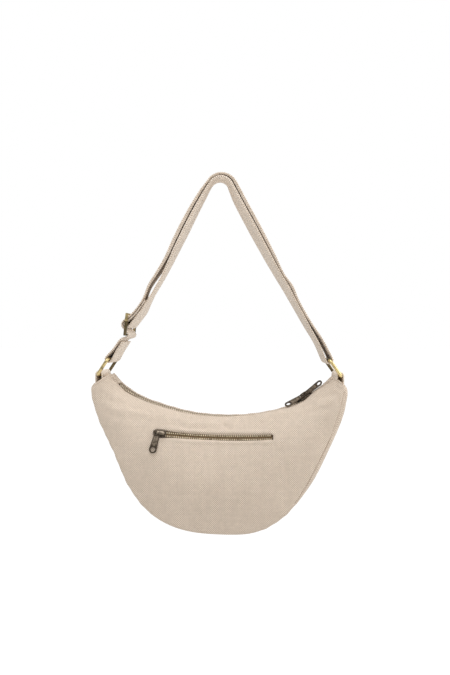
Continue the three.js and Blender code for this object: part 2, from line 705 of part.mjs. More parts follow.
const strapRoute = [
  legPoint(-1, SEWN_END_ALONG, LAYER),
  legPoint(-1, SEWN_END_ALONG + SEWN_END_LENGTH, LAYER),
  besideUpper(UPPER_PASS.middle),
  ...around(BUCKLE_MIDDLE, barWrap, MIDDLE_ENTRY, MIDDLE_EXIT, ARC_STEPS),
  besideUpper(UPPER_PASS.inner),
  ...innerLeg(-1, LEFT_LEG).reverse(),
  ...saggingApex(-LAYER),
  ...innerLeg(1, RIGHT_LEG),
  ...around(upperBarRight, wireWrap, 180 + legDegrees, 360 + legDegrees, ARC_STEPS),
  ...outerLeg(1, RIGHT_LEG).reverse(),
  ...apexArc(LAYER + APEX_SPREAD, 1),
  ...outerLeg(-1, LEFT_LEG),
  besideUpper(UPPER_PASS.outer),
  ...around(BUCKLE_MIDDLE, outerWrap, MIDDLE_ENTRY, SLOT_CROSSING, 5),
  ...around(buckleLower, barWrap, LOWER_ENTRY, LOWER_EXIT, 5),
  nearLeftRing(LEFT_LOOP.far, LEFT_LOOP.farOff),
  nearLeftRing(LEFT_LOOP.near, LEFT_LOOP.nearOff),
  ...around(upperBarLeft, wireWrap, ringSide, ringSide + 180, ARC_STEPS),
  nearLeftRing(LEFT_LOOP.near, -LEFT_LOOP.nearOff),
  nearLeftRing(STRAP_TAIL, -LEFT_LOOP.farOff),
];

function twistStrap(geometry) {
  const position = geometry.attributes.position;
  for (let k = 0; k < position.count; k += 1) {
    const z = position.getZ(k);
    let row = STRAP_TWIST.findIndex((r) => r.z < z);
    if (row < 0) {
      row = STRAP_TWIST.length - 1;
    }
    const above = STRAP_TWIST[Math.max(row - 1, 0)];
    const below = STRAP_TWIST[row];
    const share = THREE.MathUtils.clamp((above.z - z) / Math.max(above.z - below.z, 1), 0, 1);
    const left = THREE.MathUtils.lerp(above.left, below.left, share);
    const right = THREE.MathUtils.lerp(above.right, below.right, share);
    const across = THREE.MathUtils.smoothstep(position.getX(k), -TWIST_BLEND, TWIST_BLEND);
    const turn = THREE.MathUtils.lerp(left, right, across);
    const hitch = THREE.MathUtils.lerp(above.hitch, below.hitch, share);
    const depth = position.getY(k);
    position.setX(k, position.getX(k) - turn * depth);
    position.setZ(k, z + hitch * (depth / STRAP_WIDTH + 0.5));
  }
  return geometry;
}
add("strap", twistStrap(strip(strapRoute, STRAP_THICK, STRAP_WIDTH, 2)), MATERIALS.canvas);

// Slide buckle: a flat frame with a middle bar
function slideBuckle() {
  const halfHeight = BUCKLE_PITCH + BAR / 2;
  const halfWidth = BUCKLE_HALF_WIDTH + BAR;
  const outline = new THREE.Shape();
  const corner = BUCKLE_CORNER;
  outline.moveTo(-halfWidth + corner, -halfHeight);
  outline.absarc(halfWidth - corner, -halfHeight + corner, corner, -Math.PI / 2, 0, false);
  outline.absarc(halfWidth - corner, halfHeight - corner, corner, 0, Math.PI / 2, false);
  outline.absarc(-halfWidth + corner, halfHeight - corner, corner, Math.PI / 2, Math.PI, false);
  outline.absarc(-halfWidth + corner, -halfHeight + corner, corner, Math.PI, 1.5 * Math.PI, false);
  for (const side of [-1, 1]) {
    const near = (side * BAR) / 2;
    const far = side * (BUCKLE_PITCH - BAR / 2);
    const slot = new THREE.Path();
    slot.moveTo(-BUCKLE_HALF_WIDTH, near);
    slot.lineTo(-BUCKLE_HALF_WIDTH, far);
    slot.lineTo(BUCKLE_HALF_WIDTH, far);
    slot.lineTo(BUCKLE_HALF_WIDTH, near);
    slot.closePath();
    outline.holes.push(slot);
  }
  return extrude(outline, BUCKLE_THICK).translate(0, 0, -BUCKLE_THICK / 2);
}
const buckle = placed(
  new THREE.Vector3(BUCKLE_MIDDLE.x, 0, BUCKLE_MIDDLE.y),
  new THREE.Vector3(0, -1, 0),
  new THREE.Vector3(Math.sin(BUCKLE_TILT), 0, Math.cos(BUCKLE_TILT)),
  new THREE.Vector3(-Math.cos(BUCKLE_TILT), 0, Math.sin(BUCKLE_TILT)),
);
add("slide_buckle", slideBuckle(), MATERIALS.brass, buckle);

// Rectangular rings of round wire
function wireRing() {
  const centreLine = [];
  for (const [sideY, sideZ, from] of [[1, 1, 0], [-1, 1, 90], [-1, -1, 180], [1, -1, 270]]) {
    const y = sideY * (RING_HALF_WIDTH - RING_CORNER);
    const z = sideZ * (RING_HALF_HEIGHT - RING_CORNER);
    for (const degrees of evenly(from, from + 90, 4)) {
      const angle = THREE.MathUtils.degToRad(degrees);
      const out = new THREE.Vector3(0, Math.cos(angle), Math.sin(angle));
      centreLine.push({ at: new THREE.Vector3(0, y, z).addScaledVector(out, RING_CORNER), out });
    }
  }
  const side = new THREE.Vector3(1, 0, 0);
  const rings = centreLine.map(({ at, out }) =>
    evenly(0, 315, 7).map((degrees) => {
      const angle = THREE.MathUtils.degToRad(degrees);
      const p = at.clone().addScaledVector(out, WIRE_RADIUS * Math.cos(angle));
      return p.addScaledVector(side, -WIRE_RADIUS * Math.sin(angle));
    }),
  );
  return bar(rings, true);
}

// Ring tabs: a strip folded over the ring's lower bar, its two feet on the gusset's end
function ringTab(ring, end) {
  const barAt = ringBar(ring, -1);
  const inner = panelPoint(end, 0, 1);
  const corner = panelPoint(end, 1, 1);
  const foot = (x, lift) => {
    const share = (x - inner.x) / (corner.x - inner.x);
    return new THREE.Vector2(x, THREE.MathUtils.lerp(inner.z, corner.z, share) + lift);
  };
  const side = Math.sign(ring.x);
  const innerX = barAt.x - side * wireWrap;
  const outerX = barAt.x + side * wireWrap;
  const loop =
    side < 0 ? around(barAt, wireWrap, 0, 180, ARC_STEPS) : around(barAt, wireWrap, 180, 0, ARC_STEPS);
  const route = [foot(innerX, FOOT_LIFT.inner), ...loop, foot(outerX, FOOT_LIFT.outer)];
  return strip(route, STRAP_THICK, TAB_WIDTH, 1);
}

for (const [side, ring, end] of [["left", RING_LEFT, 0], ["right", RING_RIGHT, LAST]]) {
  const group = new THREE.Group();
  group.position.set(ring.x, 0, ring.z);
  group.rotation.y = ring.lean;
  bag.add(group);
  add(`ring_${side}`, wireRing(), MATERIALS.brass, group);
  add(`ring_tab_${side}`, ringTab(ring, end), MATERIALS.canvas);
}

export default bag;
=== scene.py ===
import math

import bmesh
import bpy
import numpy as np
from mathutils import Matrix, Vector


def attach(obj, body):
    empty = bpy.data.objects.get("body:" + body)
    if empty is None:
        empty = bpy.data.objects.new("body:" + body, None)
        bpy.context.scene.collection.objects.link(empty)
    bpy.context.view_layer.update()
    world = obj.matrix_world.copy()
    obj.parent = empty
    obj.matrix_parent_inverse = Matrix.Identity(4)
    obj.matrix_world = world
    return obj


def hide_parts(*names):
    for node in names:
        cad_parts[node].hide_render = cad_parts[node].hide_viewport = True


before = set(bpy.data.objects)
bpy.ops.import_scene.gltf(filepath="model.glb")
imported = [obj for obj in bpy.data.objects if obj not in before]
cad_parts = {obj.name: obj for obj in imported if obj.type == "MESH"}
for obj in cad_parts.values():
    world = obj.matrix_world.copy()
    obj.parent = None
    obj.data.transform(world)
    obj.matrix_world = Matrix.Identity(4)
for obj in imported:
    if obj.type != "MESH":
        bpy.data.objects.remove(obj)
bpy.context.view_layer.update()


# Studio. The bag hangs by its strap in front of a white surround, so the floor is a wide pale sheet
# well below it. One large soft light stands above the camera, and the surround fills the shadows.
MM = 0.001
FLOOR_LEVEL = -0.95
FLOOR_SIZE = 60.0
FLOOR_WHITENESS = 0.93
FLOOR_GLOW = 1.08
FLOOR_TONES = ((0.88, 0.875, 0.87, 1), (0.92, 0.915, 0.91, 1))
CAMERA_PLACE = (0.0363, -0.5992, -0.1945)
CAMERA_TURN = 3.0
CAMERA_LENS = 25.6
SURROUND_WHITE = (1.0, 1.0, 1.0, 1.0)
SURROUND_LOW = (0.56, 0.555, 0.545, 1.0)
SURROUND_HIGH = (0.58, 0.575, 0.565, 1.0)
SOFT_LIGHT = {"place": (-0.1, -0.8, 1.35), "size": 1.7, "power": 24.5, "colour": (0.96, 1.0, 1.07)}
SIDE_LIGHT = {"place": (1.4, -0.1, 0.1), "size": 1.0, "power": 8.0, "colour": (1.0, 1.0, 1.0)}
BACK_LIGHT = {"place": (0.2, 1.6, 1.3), "size": 1.8, "power": 3.0, "colour": (1.0, 1.0, 1.0)}


def new_material(name):
    material = bpy.data.materials.new(name)
    material.use_nodes = True
    material.node_tree.nodes.clear()
    return material


def add_node(tree, kind, settings=None, **inputs):
    made = tree.nodes.new(kind)
    for key, value in (settings or {}).items():
        setattr(made, key, value)
    for key, value in inputs.items():
        by_number = key[0] == "i" and key[1:].isdigit()
        socket = made.inputs[int(key[1:]) if by_number else key.replace("_", " ")]
        if isinstance(value, bpy.types.NodeSocket):
            tree.links.new(value, socket)
        else:
            socket.default_value = value
    return made


def mix_colours(tree, share, first, second, blend="MIX"):
    settings = {"data_type": "RGBA", "blend_type": blend}
    return add_node(tree, "ShaderNodeMix", settings, i0=share, i6=first, i7=second).outputs[2]


def add_mesh(name, points, faces, material):
    mesh = bpy.data.meshes.new(name)
    mesh.from_pydata([tuple(p) for p in np.asarray(points) * MM], [], faces)
    mesh.shade_smooth()
    mesh.materials.append(material)
    piece = bpy.data.objects.new(name, mesh)
    bpy.context.scene.collection.objects.link(piece)
    return piece


floor_finish = new_material("studio_floor")
floor_tree = floor_finish.node_tree
floor_where = add_node(floor_tree, "ShaderNodeTexCoord").outputs["Object"]
floor_grain = add_node(floor_tree, "ShaderNodeTexNoise", Vector=floor_where, Scale=3.0, Detail=4.0)
floor_tone = mix_colours(floor_tree, floor_grain.outputs[0], *FLOOR_TONES)
floor_path = add_node(floor_tree, "ShaderNodeLightPath")
floor_cloth = add_node(floor_tree, "ShaderNodeBsdfDiffuse", Color=floor_tone)
floor_white = add_node(floor_tree, "ShaderNodeEmission", Strength=FLOOR_GLOW)
floor_lit = add_node(
    floor_tree, "ShaderNodeMixShader",
    i0=FLOOR_WHITENESS, i1=floor_cloth.outputs[0], i2=floor_white.outputs[0],
)
floor_seen = add_node(
    floor_tree, "ShaderNodeMixShader",
    i0=floor_path.outputs["Is Camera Ray"], i1=floor_cloth.outputs[0], i2=floor_lit.outputs[0],
)
add_node(floor_tree, "ShaderNodeOutputMaterial", Surface=floor_seen.outputs[0])
floor_half = FLOOR_SIZE / 2 / MM
floor_corners = [
    (x * floor_half, y * floor_half, FLOOR_LEVEL / MM) for x, y in ((-1, -1), (1, -1), (1, 1), (-1, 1))
]
floor = add_mesh("floor", floor_corners, [(0, 1, 2, 3)], floor_finish)

world = bpy.data.worlds.new("surround")
world.use_nodes = True
world_tree = world.node_tree
world_tree.nodes.clear()
world_where = add_node(world_tree, "ShaderNodeTexCoord")
world_height = add_node(world_tree, "ShaderNodeSeparateXYZ", Vector=world_where.outputs["Generated"])
world_share = add_node(
    world_tree, "ShaderNodeMapRange", Value=world_height.outputs["Z"], From_Min=-0.6, From_Max=0.8,
)
world_glow = mix_colours(world_tree, world_share.outputs[0], SURROUND_LOW, SURROUND_HIGH)
world_path = add_node(world_tree, "ShaderNodeLightPath")
world_seen = mix_colours(world_tree, world_path.outputs["Is Camera Ray"], world_glow, SURROUND_WHITE)
world_light = add_node(world_tree, "ShaderNodeBackground", Color=world_seen, Strength=1.0)
add_node(world_tree, "ShaderNodeOutputWorld", Surface=world_light.outputs[0])
bpy.context.scene.world = world
bpy.context.scene.view_settings.view_transform = "Standard"

BAG_MIDDLE = Vector((0.0, 0.0, -0.25))
for light_name, light_facts in (("soft", SOFT_LIGHT), ("side", SIDE_LIGHT), ("back", BACK_LIGHT)):
    lamp = bpy.data.lights.new(light_name + "_light", "AREA")
    lamp.size = light_facts["size"]
    lamp.energy = light_facts["power"]
    lamp.color = light_facts["colour"]
    light = bpy.data.objects.new(light_name + "_light", lamp)
    light.location = light_facts["place"]
    light.rotation_euler = (BAG_MIDDLE - light.location).to_track_quat("-Z", "Y").to_euler()
    bpy.context.scene.collection.objects.link(light)

lens = bpy.data.cameras.new("camera")
lens.lens = CAMERA_LENS
lens.sensor_width = 36.0
lens.clip_start = 0.01
camera = bpy.data.objects.new("camera", lens)
camera.location = CAMERA_PLACE
camera.rotation_euler = (math.radians(90), 0.0, math.radians(CAMERA_TURN))
bpy.context.scene.collection.objects.link(camera)
bpy.context.scene.camera = camera


# Front panel. A crescent of two-tone linen canvas in a plain weave, cut in one piece and sewn to the
# gusset along its rim. Its upper edge is turned in along the top zip, and a slot is cut across it for
# the pocket zip. The pull of the strap creases the cloth softly from both upper corners.
CLOTH = 1.8
CANVAS_THREAD = 1.27
CANVAS_TAN = (0.43, 0.315, 0.215, 1)
CANVAS_CREAM = (0.85, 0.735, 0.615, 1)
STATION_COLUMNS = (
    "zip_x", "zip_z", "seam_x", "seam_z", "zip_half", "seam_half", "crown", "bulge", "lift",
)
STATIONS = np.array([
    (-139, -240.5, -154.5, -252.5, 12, 22.5, 0, 0.8, 0),
    (-132, -247.5, -157, -261, 9, 23, 1, 2.5, -0.5),
    (-119, -258.5, -147.5, -293, 7, 25, 4, 2.5, -3),
    (-99, -270, -128.5, -332, 7, 27.5, 7, 2, -1.6),
    (-76, -278.2, -108.3, -375, 7, 29.5, 9, 2.5, -1.2),
    (-52, -285.2, -81.5, -406.5, 7, 30, 10, 2, -0.6),
    (-26, -290, -45, -424, 7, 30, 10, 1, -0.2),
    (2, -291.8, 2, -428.8, 7, 30, 10, 0.5, 0),
    (28, -291.3, 44, -424.8, 7, 30, 10, 1.5, 1),
    (52, -288.4, 76.5, -404.5, 7, 30, 10, 4.5, 2),
    (76, -282.8, 102, -370, 7, 29.5, 9, 8, 1.5),
    (98, -274.2, 121.5, -333, 7, 27.5, 7, 8, 0),
    (119, -259.5, 141.5, -290, 7, 25, 4, 6.5, 1.5),
    (132, -249.6, 149.5, -260, 9, 23, 1, 4, 1),
    (138.5, -243.2, 147.5, -252.2, 12, 22.5, 0, 0.8, 0),
], float)
LAST = len(STATIONS) - 1
SLOT_LEFT = -77.7
SLOT_RIGHT = 62.6
SLOT_Z = -314.0
SLOT_RISE = 2.78
SLOT_TILT = -0.86
SLOT_HALF_SLIDER = 5.3
SLOT_HALF_LEFT = 4.6
SLOT_HALF_RIGHT = 3.7
SLOT_LOWER_COVER = 0.6
SLOT_SLOPE = 0.86
SLOT_END_ROUND = 3.4
SLOT_END_BLUNT = 0.42
SLIDER_ROOM = (11.0, 24.0)
FOLD_COLUMNS = ("from_x", "from_z", "to_x", "to_z", "width", "height")
FOLDS = [
    (-148, -253, -110, -270, 3.4, 0.7),
    (-148, -265, -108, -276, 3.2, -0.7),
    (-142, -275, -92, -286, 3.6, 0.6),
    (-141, -284, -94, -293, 4.0, -0.5),
    (-112, -282, -64, -290, 3.0, 0.9),
    (-60, -292, 13, -298, 2.8, 1.2),
    (-66, -299, 0, -304, 3.2, -0.9),
    (27, -289, 11, -299, 2.6, 1.3),
    (1, -299, 16, -305, 2.6, -1.3),
    (88, -283, 40, -297, 3.2, 1.2),
    (142, -259, 112, -274, 3.2, -0.9),
    (140, -268, 100, -287, 3.4, 0.9),
    (127, -278, 88, -294, 3.2, -0.9),
    (136, -285, 80, -303, 4.5, 0.7),
    (-80, -301, -60, -300, 2.5, -0.9),
    (-82, -326, -54, -330, 4.0, -0.8),
    (64, -322, 82, -334, 5.0, -0.4),
    (-136, -331, -116, -333, 9.0, -2.1),
    (-70, -350, 20, -362, 16.0, 0.9),
    (30, -350, 92, -372, 14.0, -0.8),
]
FOLD_BOW = 0.06
UNEVEN_BROAD = 0.22
UNEVEN_FINE = 0.2
SEAM_DIP = 0.55
SEAM_DIP_WIDTH = 1.6
SEAM_PUFF_FROM = 6.0
SEAM_PUFF_WIDTH = 5.0
SEAM_PUCKER = 0.28
ZIP_PUCKER = 0.35
ZIP_PUCKER_FROM = 5.0
ZIP_PUCKER_WIDTH = 4.0
LIP_TURN = 1.3
LIP_TURN_WIDTH = 0.8
LIP_ROLL = 0.85
LIP_ROLL_FROM = 3.2
LIP_ROLL_WIDTH = 2.3
SLOT_PUCKER = 0.3
SLOT_PUCKER_FROM = 4.0
SLOT_PUCKER_WIDTH = 3.0
# Points of the right side seam on the front, each x and z
SIDE_SEAM = np.array([
    (148.5, -256.7), (143.4, -277.7), (138.6, -291.8), (131.3, -312.8), (125.4, -326.9),
    (118.3, -340.8), (110.0, -356.1), (101.8, -371.3), (92.5, -385.6), (83.1, -397.5),
])
SIDE_SEAM_DEPTH = 0.9
SIDE_SEAM_WIDTH = 1.2
SIDE_SEAM_TURN = 0.24
PULL_REST_X = 115.0
PULL_REST_WIDTH = 8.0
PULL_REST_RISE = 0.8
PULL_REST_REACH = 8.0
POCKET_PULL_PRESS = {"x": -72.5, "z": -316.0, "radius": 13.0, "depth": 0.35}


def station(place):
    place = np.asarray(place, float)
    row = np.clip(np.floor(place).astype(int), 0, LAST - 1)
    t = (place - row)[..., None]
    a, b, c, d = (STATIONS[np.clip(row + k, 0, LAST)] for k in (-1, 0, 1, 2))
    before = np.where((row == 0)[..., None], c - b, (c - a) / 2)
    after = np.where((row == LAST - 1)[..., None], c - b, (d - b) / 2)
    cubic = (2 * b - 2 * c + before + after) * t + 3 * (c - b) - 2 * before - after
    values = (cubic * t + before) * t + b
    return dict(zip(STATION_COLUMNS, np.moveaxis(values, -1, 0)))


def panel_point(place, fall, side):
    s = station(place)
    edge_z = s["zip_z"] + (s["lift"] if side < 0 else 0.0)
    x = s["zip_x"] + (s["seam_x"] - s["zip_x"]) * fall
    z = edge_z + (s["seam_z"] - edge_z) * fall
    spread = np.sqrt(np.clip(1 - (1 - fall) ** 2, 0, 1))
    crown = (1.0 if side < 0 else 0.7) * s["crown"] * np.sin(np.pi * np.clip(fall, 0, 1) ** 0.8)
    depth = s["zip_half"] + (s["seam_half"] - s["zip_half"]) * spread + crown
    return np.stack([x, side * depth, z], -1)


def smooth_step(low, high, value):
    t = np.clip((value - low) / (high - low), 0, 1)
    return t * t * (3 - 2 * t)


def slot_z(x):
    share = x / SLOT_RIGHT
    return SLOT_Z + SLOT_TILT * share + SLOT_RISE * share ** 2


def slot_half(x):
    share = np.clip((x - SLOT_LEFT) / (SLOT_RIGHT - SLOT_LEFT), 0, 1)
    lips = SLOT_HALF_LEFT + (SLOT_HALF_RIGHT - SLOT_HALF_LEFT) * share
    past_slider = smooth_step(SLOT_LEFT + SLIDER_ROOM[0], SLOT_LEFT + SLIDER_ROOM[1], x)
    half = SLOT_HALF_SLIDER + (lips - SLOT_HALF_SLIDER) * past_slider
    from_end = np.minimum(x - SLOT_LEFT, SLOT_RIGHT - x) / SLOT_END_ROUND + SLOT_END_BLUNT
    return half * np.sqrt(np.clip(from_end, SLOT_END_BLUNT, 1))


def grid_normals(grid):
    normals = np.cross(np.gradient(grid, axis=0), np.gradient(grid, axis=1))
    return normals / np.maximum(np.linalg.norm(normals, axis=-1, keepdims=True), 1e-9)


def grid_faces(columns, rows, keep=None):
    faces = []
    for i in range(columns - 1):
        for j in range(rows - 1):
            if keep is None or keep[i, j]:
                here = i * rows + j
                ahead = here + rows
                faces.append((here, ahead, ahead + 1, here + 1))
    return faces


def set_uv(piece, uv):
    layer = piece.data.uv_layers.new(name="cloth")
    corner = np.empty(len(piece.data.loops), int)
    piece.data.loops.foreach_get("vertex_index", corner)
    layer.data.foreach_set("uv", np.asarray(uv)[corner].astype(np.float32).ravel())


# Cloth with its real thickness: the outer face, the inner face, and a rounded turned edge between
RIM_STEPS = 4
RIM_ROUND = 0.7


def cloth_piece(name, grid, uv, material, keep=None):
    columns, rows = grid.shape[:2]
    normals = grid_normals(grid).reshape(-1, 3)
    outer = grid.reshape(-1, 3)
    flat_uv = uv.reshape(-1, 2)
    faces = grid_faces(columns, rows, keep)
    edges = {(face[k - 1], face[k]): True for face in faces for k in (1, 2, 3, 0)}
    rim_edges = [(a, b) for a, b in edges if (b, a) not in edges]
    away = {}
    for a, b in rim_edges:
        along = outer[b] - outer[a]
        side = np.cross(along, normals[a] + normals[b])
        side /= max(np.linalg.norm(side), 1e-9)
        for corner in (a, b):
            away[corner] = away.get(corner, 0) + side
    count = len(outer)
    all_faces = faces + [tuple(count + k for k in reversed(face)) for face in faces]
    first = 2 * count
    rim = {}
    rim_points = []
    rim_uv = []
    for corner, side in away.items():
        side = side / max(np.linalg.norm(side), 1e-9)
        ring = [corner]
        for step in range(1, RIM_STEPS):
            angle = math.pi * step / RIM_STEPS
            middle = outer[corner] - 0.5 * CLOTH * normals[corner]
            reach = math.cos(angle) * normals[corner] + RIM_ROUND * math.sin(angle) * side
            ring.append(first + len(rim_points))
            rim_points.append(middle + 0.5 * CLOTH * reach)
            rim_uv.append(flat_uv[corner])
        ring.append(count + corner)
        rim[corner] = ring
    for a, b in rim_edges:
        for k in range(RIM_STEPS):
            all_faces.append((rim[b][k], rim[a][k], rim[a][k + 1], rim[b][k + 1]))
    points = np.concatenate([outer, outer - CLOTH * normals, rim_points])
    all_uv = np.concatenate([flat_uv, flat_uv, rim_uv])
    used = np.zeros(len(points), bool)
    used[np.array(all_faces).ravel()] = True
    index = np.cumsum(used) - 1
    all_faces = [tuple(int(index[k]) for k in face) for face in all_faces]
    piece = add_mesh(name, points[used], all_faces, material)
    set_uv(piece, all_uv[used])
    return piece


# The weave: warp and weft threads cross over and under, each thread with its own tone and slubs
CROSSING_SHADE = 0.35
WEAVE_MIDDLE = 0.55
SLUB_STRETCH = {"warp": (0.9, 0.05, 1), "weft": (0.05, 0.9, 1)}
SLUB_SCALE = 0.55


def calculate(tree, operation, first, second=None):
    inputs = {"i0": first}
    if second is not None:
        inputs["i1"] = second
    return add_node(tree, "ShaderNodeMath", {"operation": operation}, **inputs).outputs[0]


def add_all(tree, *values):
    total = values[0]
    for value in values[1:]:
        total = calculate(tree, "ADD", total, value)
    return total


def swing(tree, value, middle, share):
    return calculate(tree, "MULTIPLY", calculate(tree, "SUBTRACT", value, middle), share)


def pick(tree, share, first, second):
    return add_node(tree, "ShaderNodeMix", {"data_type": "FLOAT"}, i0=share, i2=first, i3=second).outputs[0]


def group_sockets(group, inputs, outputs):
    for name, value in inputs.items():
        socket = group.interface.new_socket(name, in_out="INPUT", socket_type="NodeSocketFloat")
        socket.default_value = value
    for name in outputs:
        group.interface.new_socket(name, in_out="OUTPUT", socket_type="NodeSocketFloat")


weave = bpy.data.node_groups.new("canvas_weave", "ShaderNodeTree")
group_sockets(weave, {"Thread": 1.0, "Contrast": 0.5, "Slubs": 0.3}, ("Tone", "Height"))
weave_in = add_node(weave, "NodeGroupInput")
weave_uv = add_node(weave, "ShaderNodeUVMap", {"uv_map": "cloth"}).outputs[0]
weave_split = add_node(weave, "ShaderNodeSeparateXYZ", Vector=weave_uv)
thread_numbers = []
thread_rounds = []
thread_tones = []
thread_slubs = []
for axis, (yarn, shift) in enumerate((("warp", 0.0), ("weft", 0.37))):
    place = calculate(weave, "DIVIDE", weave_split.outputs[axis], weave_in.outputs["Thread"])
    number = calculate(weave, "FLOOR", place)
    half_turn = calculate(weave, "MULTIPLY", calculate(weave, "FRACT", place), math.pi)
    own_number = calculate(weave, "ADD", number, shift)
    own = add_node(weave, "ShaderNodeTexWhiteNoise", {"noise_dimensions": "1D"}, W=own_number)
    stretched = add_node(weave, "ShaderNodeMapping", Vector=weave_uv, Scale=SLUB_STRETCH[yarn])
    slub = add_node(
        weave, "ShaderNodeTexNoise", {"noise_dimensions": "2D"},
        Vector=stretched.outputs[0], Scale=SLUB_SCALE, Detail=2.0,
    )
    thread_numbers.append(number)
    thread_rounds.append(calculate(weave, "SINE", half_turn))
    thread_tones.append(own.outputs[0])
    thread_slubs.append(slub.outputs[0])
over = calculate(weave, "FLOORED_MODULO", calculate(weave, "ADD", *thread_numbers), 2.0)
crown = calculate(weave, "MULTIPLY", *thread_rounds)
own_tone = pick(weave, over, *thread_tones)
slub_tone = pick(weave, over, *thread_slubs)
two_tone = swing(weave, over, 0.5, weave_in.outputs["Contrast"])
own_part = swing(weave, own_tone, 0.5, weave_in.outputs["Slubs"])
slub_part = calculate(weave, "MULTIPLY", swing(weave, slub_tone, 0.5, 2.0), weave_in.outputs["Slubs"])
crossing = swing(weave, crown, 0.4, CROSSING_SHADE)
weave_tone = add_all(weave, two_tone, own_part, slub_part, crossing, WEAVE_MIDDLE)
weave_height = calculate(weave, "ADD", crown, calculate(weave, "MULTIPLY", slub_tone, 0.5))
add_node(weave, "NodeGroupOutput", Tone=weave_tone, Height=weave_height)


def finish_material(tree, **inputs):
    shader = add_node(tree, "ShaderNodeBsdfPrincipled", **inputs)
    add_node(tree, "ShaderNodeOutputMaterial", Surface=shader.outputs[0])


CLOUD_SCALE = 24.0
MOTTLE_SCALE = 210.0
UNEVEN_SHADE = (0.92, 1.06)


def cloth_finish(name, thread, contrast, slubs, dark, pale, bump, sheen):
    material = new_material(name)
    tree = material.node_tree
    threads = add_node(
        tree, "ShaderNodeGroup", {"node_tree": weave}, Thread=thread, Contrast=contrast, Slubs=slubs,
    )
    colour = mix_colours(tree, threads.outputs["Tone"], dark, pale)
    where = add_node(tree, "ShaderNodeTexCoord").outputs["Object"]
    cloud = add_node(tree, "ShaderNodeTexNoise", Vector=where, Scale=CLOUD_SCALE, Detail=3.0)
    mottle = add_node(tree, "ShaderNodeTexNoise", Vector=where, Scale=MOTTLE_SCALE, Detail=2.0)
    shade = add_node(
        tree, "ShaderNodeMapRange", Value=calculate(tree, "ADD", cloud.outputs[0], mottle.outputs[0]),
        From_Min=0.6, From_Max=1.4, To_Min=UNEVEN_SHADE[0], To_Max=UNEVEN_SHADE[1],
    )
    aged = mix_colours(tree, 1.0, colour, shade.outputs[0], "MULTIPLY")
    relief = add_node(
        tree, "ShaderNodeBump", Height=threads.outputs["Height"], Strength=bump, Distance=0.0004,
    )
    finish_material(
        tree, Base_Color=aged, Roughness=0.92, Normal=relief.outputs[0],
        Sheen_Weight=sheen, Sheen_Roughness=0.6, Specular_IOR_Level=0.2,
    )
    return material


canvas = cloth_finish(
    "canvas", thread=CANVAS_THREAD, contrast=0.62, slubs=0.07,
    dark=CANVAS_TAN, pale=CANVAS_CREAM, bump=0.45, sheen=0.15,
)


def fold_height(x, z):
    total = np.zeros_like(x)
    for row in FOLDS:
        f = dict(zip(FOLD_COLUMNS, row))
        along = np.array([f["to_x"] - f["from_x"], f["to_z"] - f["from_z"]], float)
        length = np.linalg.norm(along)
        along /= length
        from_start = (x - f["from_x"]) * along[0] + (z - f["from_z"]) * along[1]
        aside = (x - f["from_x"]) * along[1] - (z - f["from_z"]) * along[0]
        bow = FOLD_BOW * length * np.sin(np.pi * np.clip(from_start / length, 0, 1))
        ends = smooth_step(-0.25 * length, 0.3 * length, from_start)
        ends *= 1 - smooth_step(0.55 * length, 1.15 * length, from_start)
        total += f["height"] * ends * np.exp(-((aside - bow) / f["width"]) ** 2)
    return total


def uneven_height(x, z):
    waves = np.sin(0.071 * x + 0.043 * z + 1.1) + np.sin(-0.047 * x + 0.089 * z + 2.3)
    fine = np.sin(0.163 * x - 0.121 * z + 0.4) * np.sin(0.097 * x + 0.151 * z + 4.0)
    return UNEVEN_BROAD * waves + UNEVEN_FINE * fine


# Rows of the front panel run along the slot's two edges, and columns stand upright at its two ends
FRONT_COLUMNS = (58, 120, 58)
FRONT_ROWS = (26, 4, 74)
SLOT_MIDDLE_FALL = 0.2
FAR_UPPER_FALL = 0.16
FAR_LOWER_FALL = 0.26


def place_at_x(x, fall):
    places = np.linspace(0, LAST, 2000)
    return np.interp(x, panel_point(places, np.full_like(places, fall), -1)[:, 0], places)


slot_left_place = place_at_x(SLOT_LEFT, SLOT_MIDDLE_FALL)
slot_right_place = place_at_x(SLOT_RIGHT, SLOT_MIDDLE_FALL)
front_places = np.concatenate([
    np.linspace(0, slot_left_place, FRONT_COLUMNS[0], endpoint=False),
    np.linspace(slot_left_place, slot_right_place, FRONT_COLUMNS[1], endpoint=False),
    np.linspace(slot_right_place, LAST, FRONT_COLUMNS[2] + 1),
])


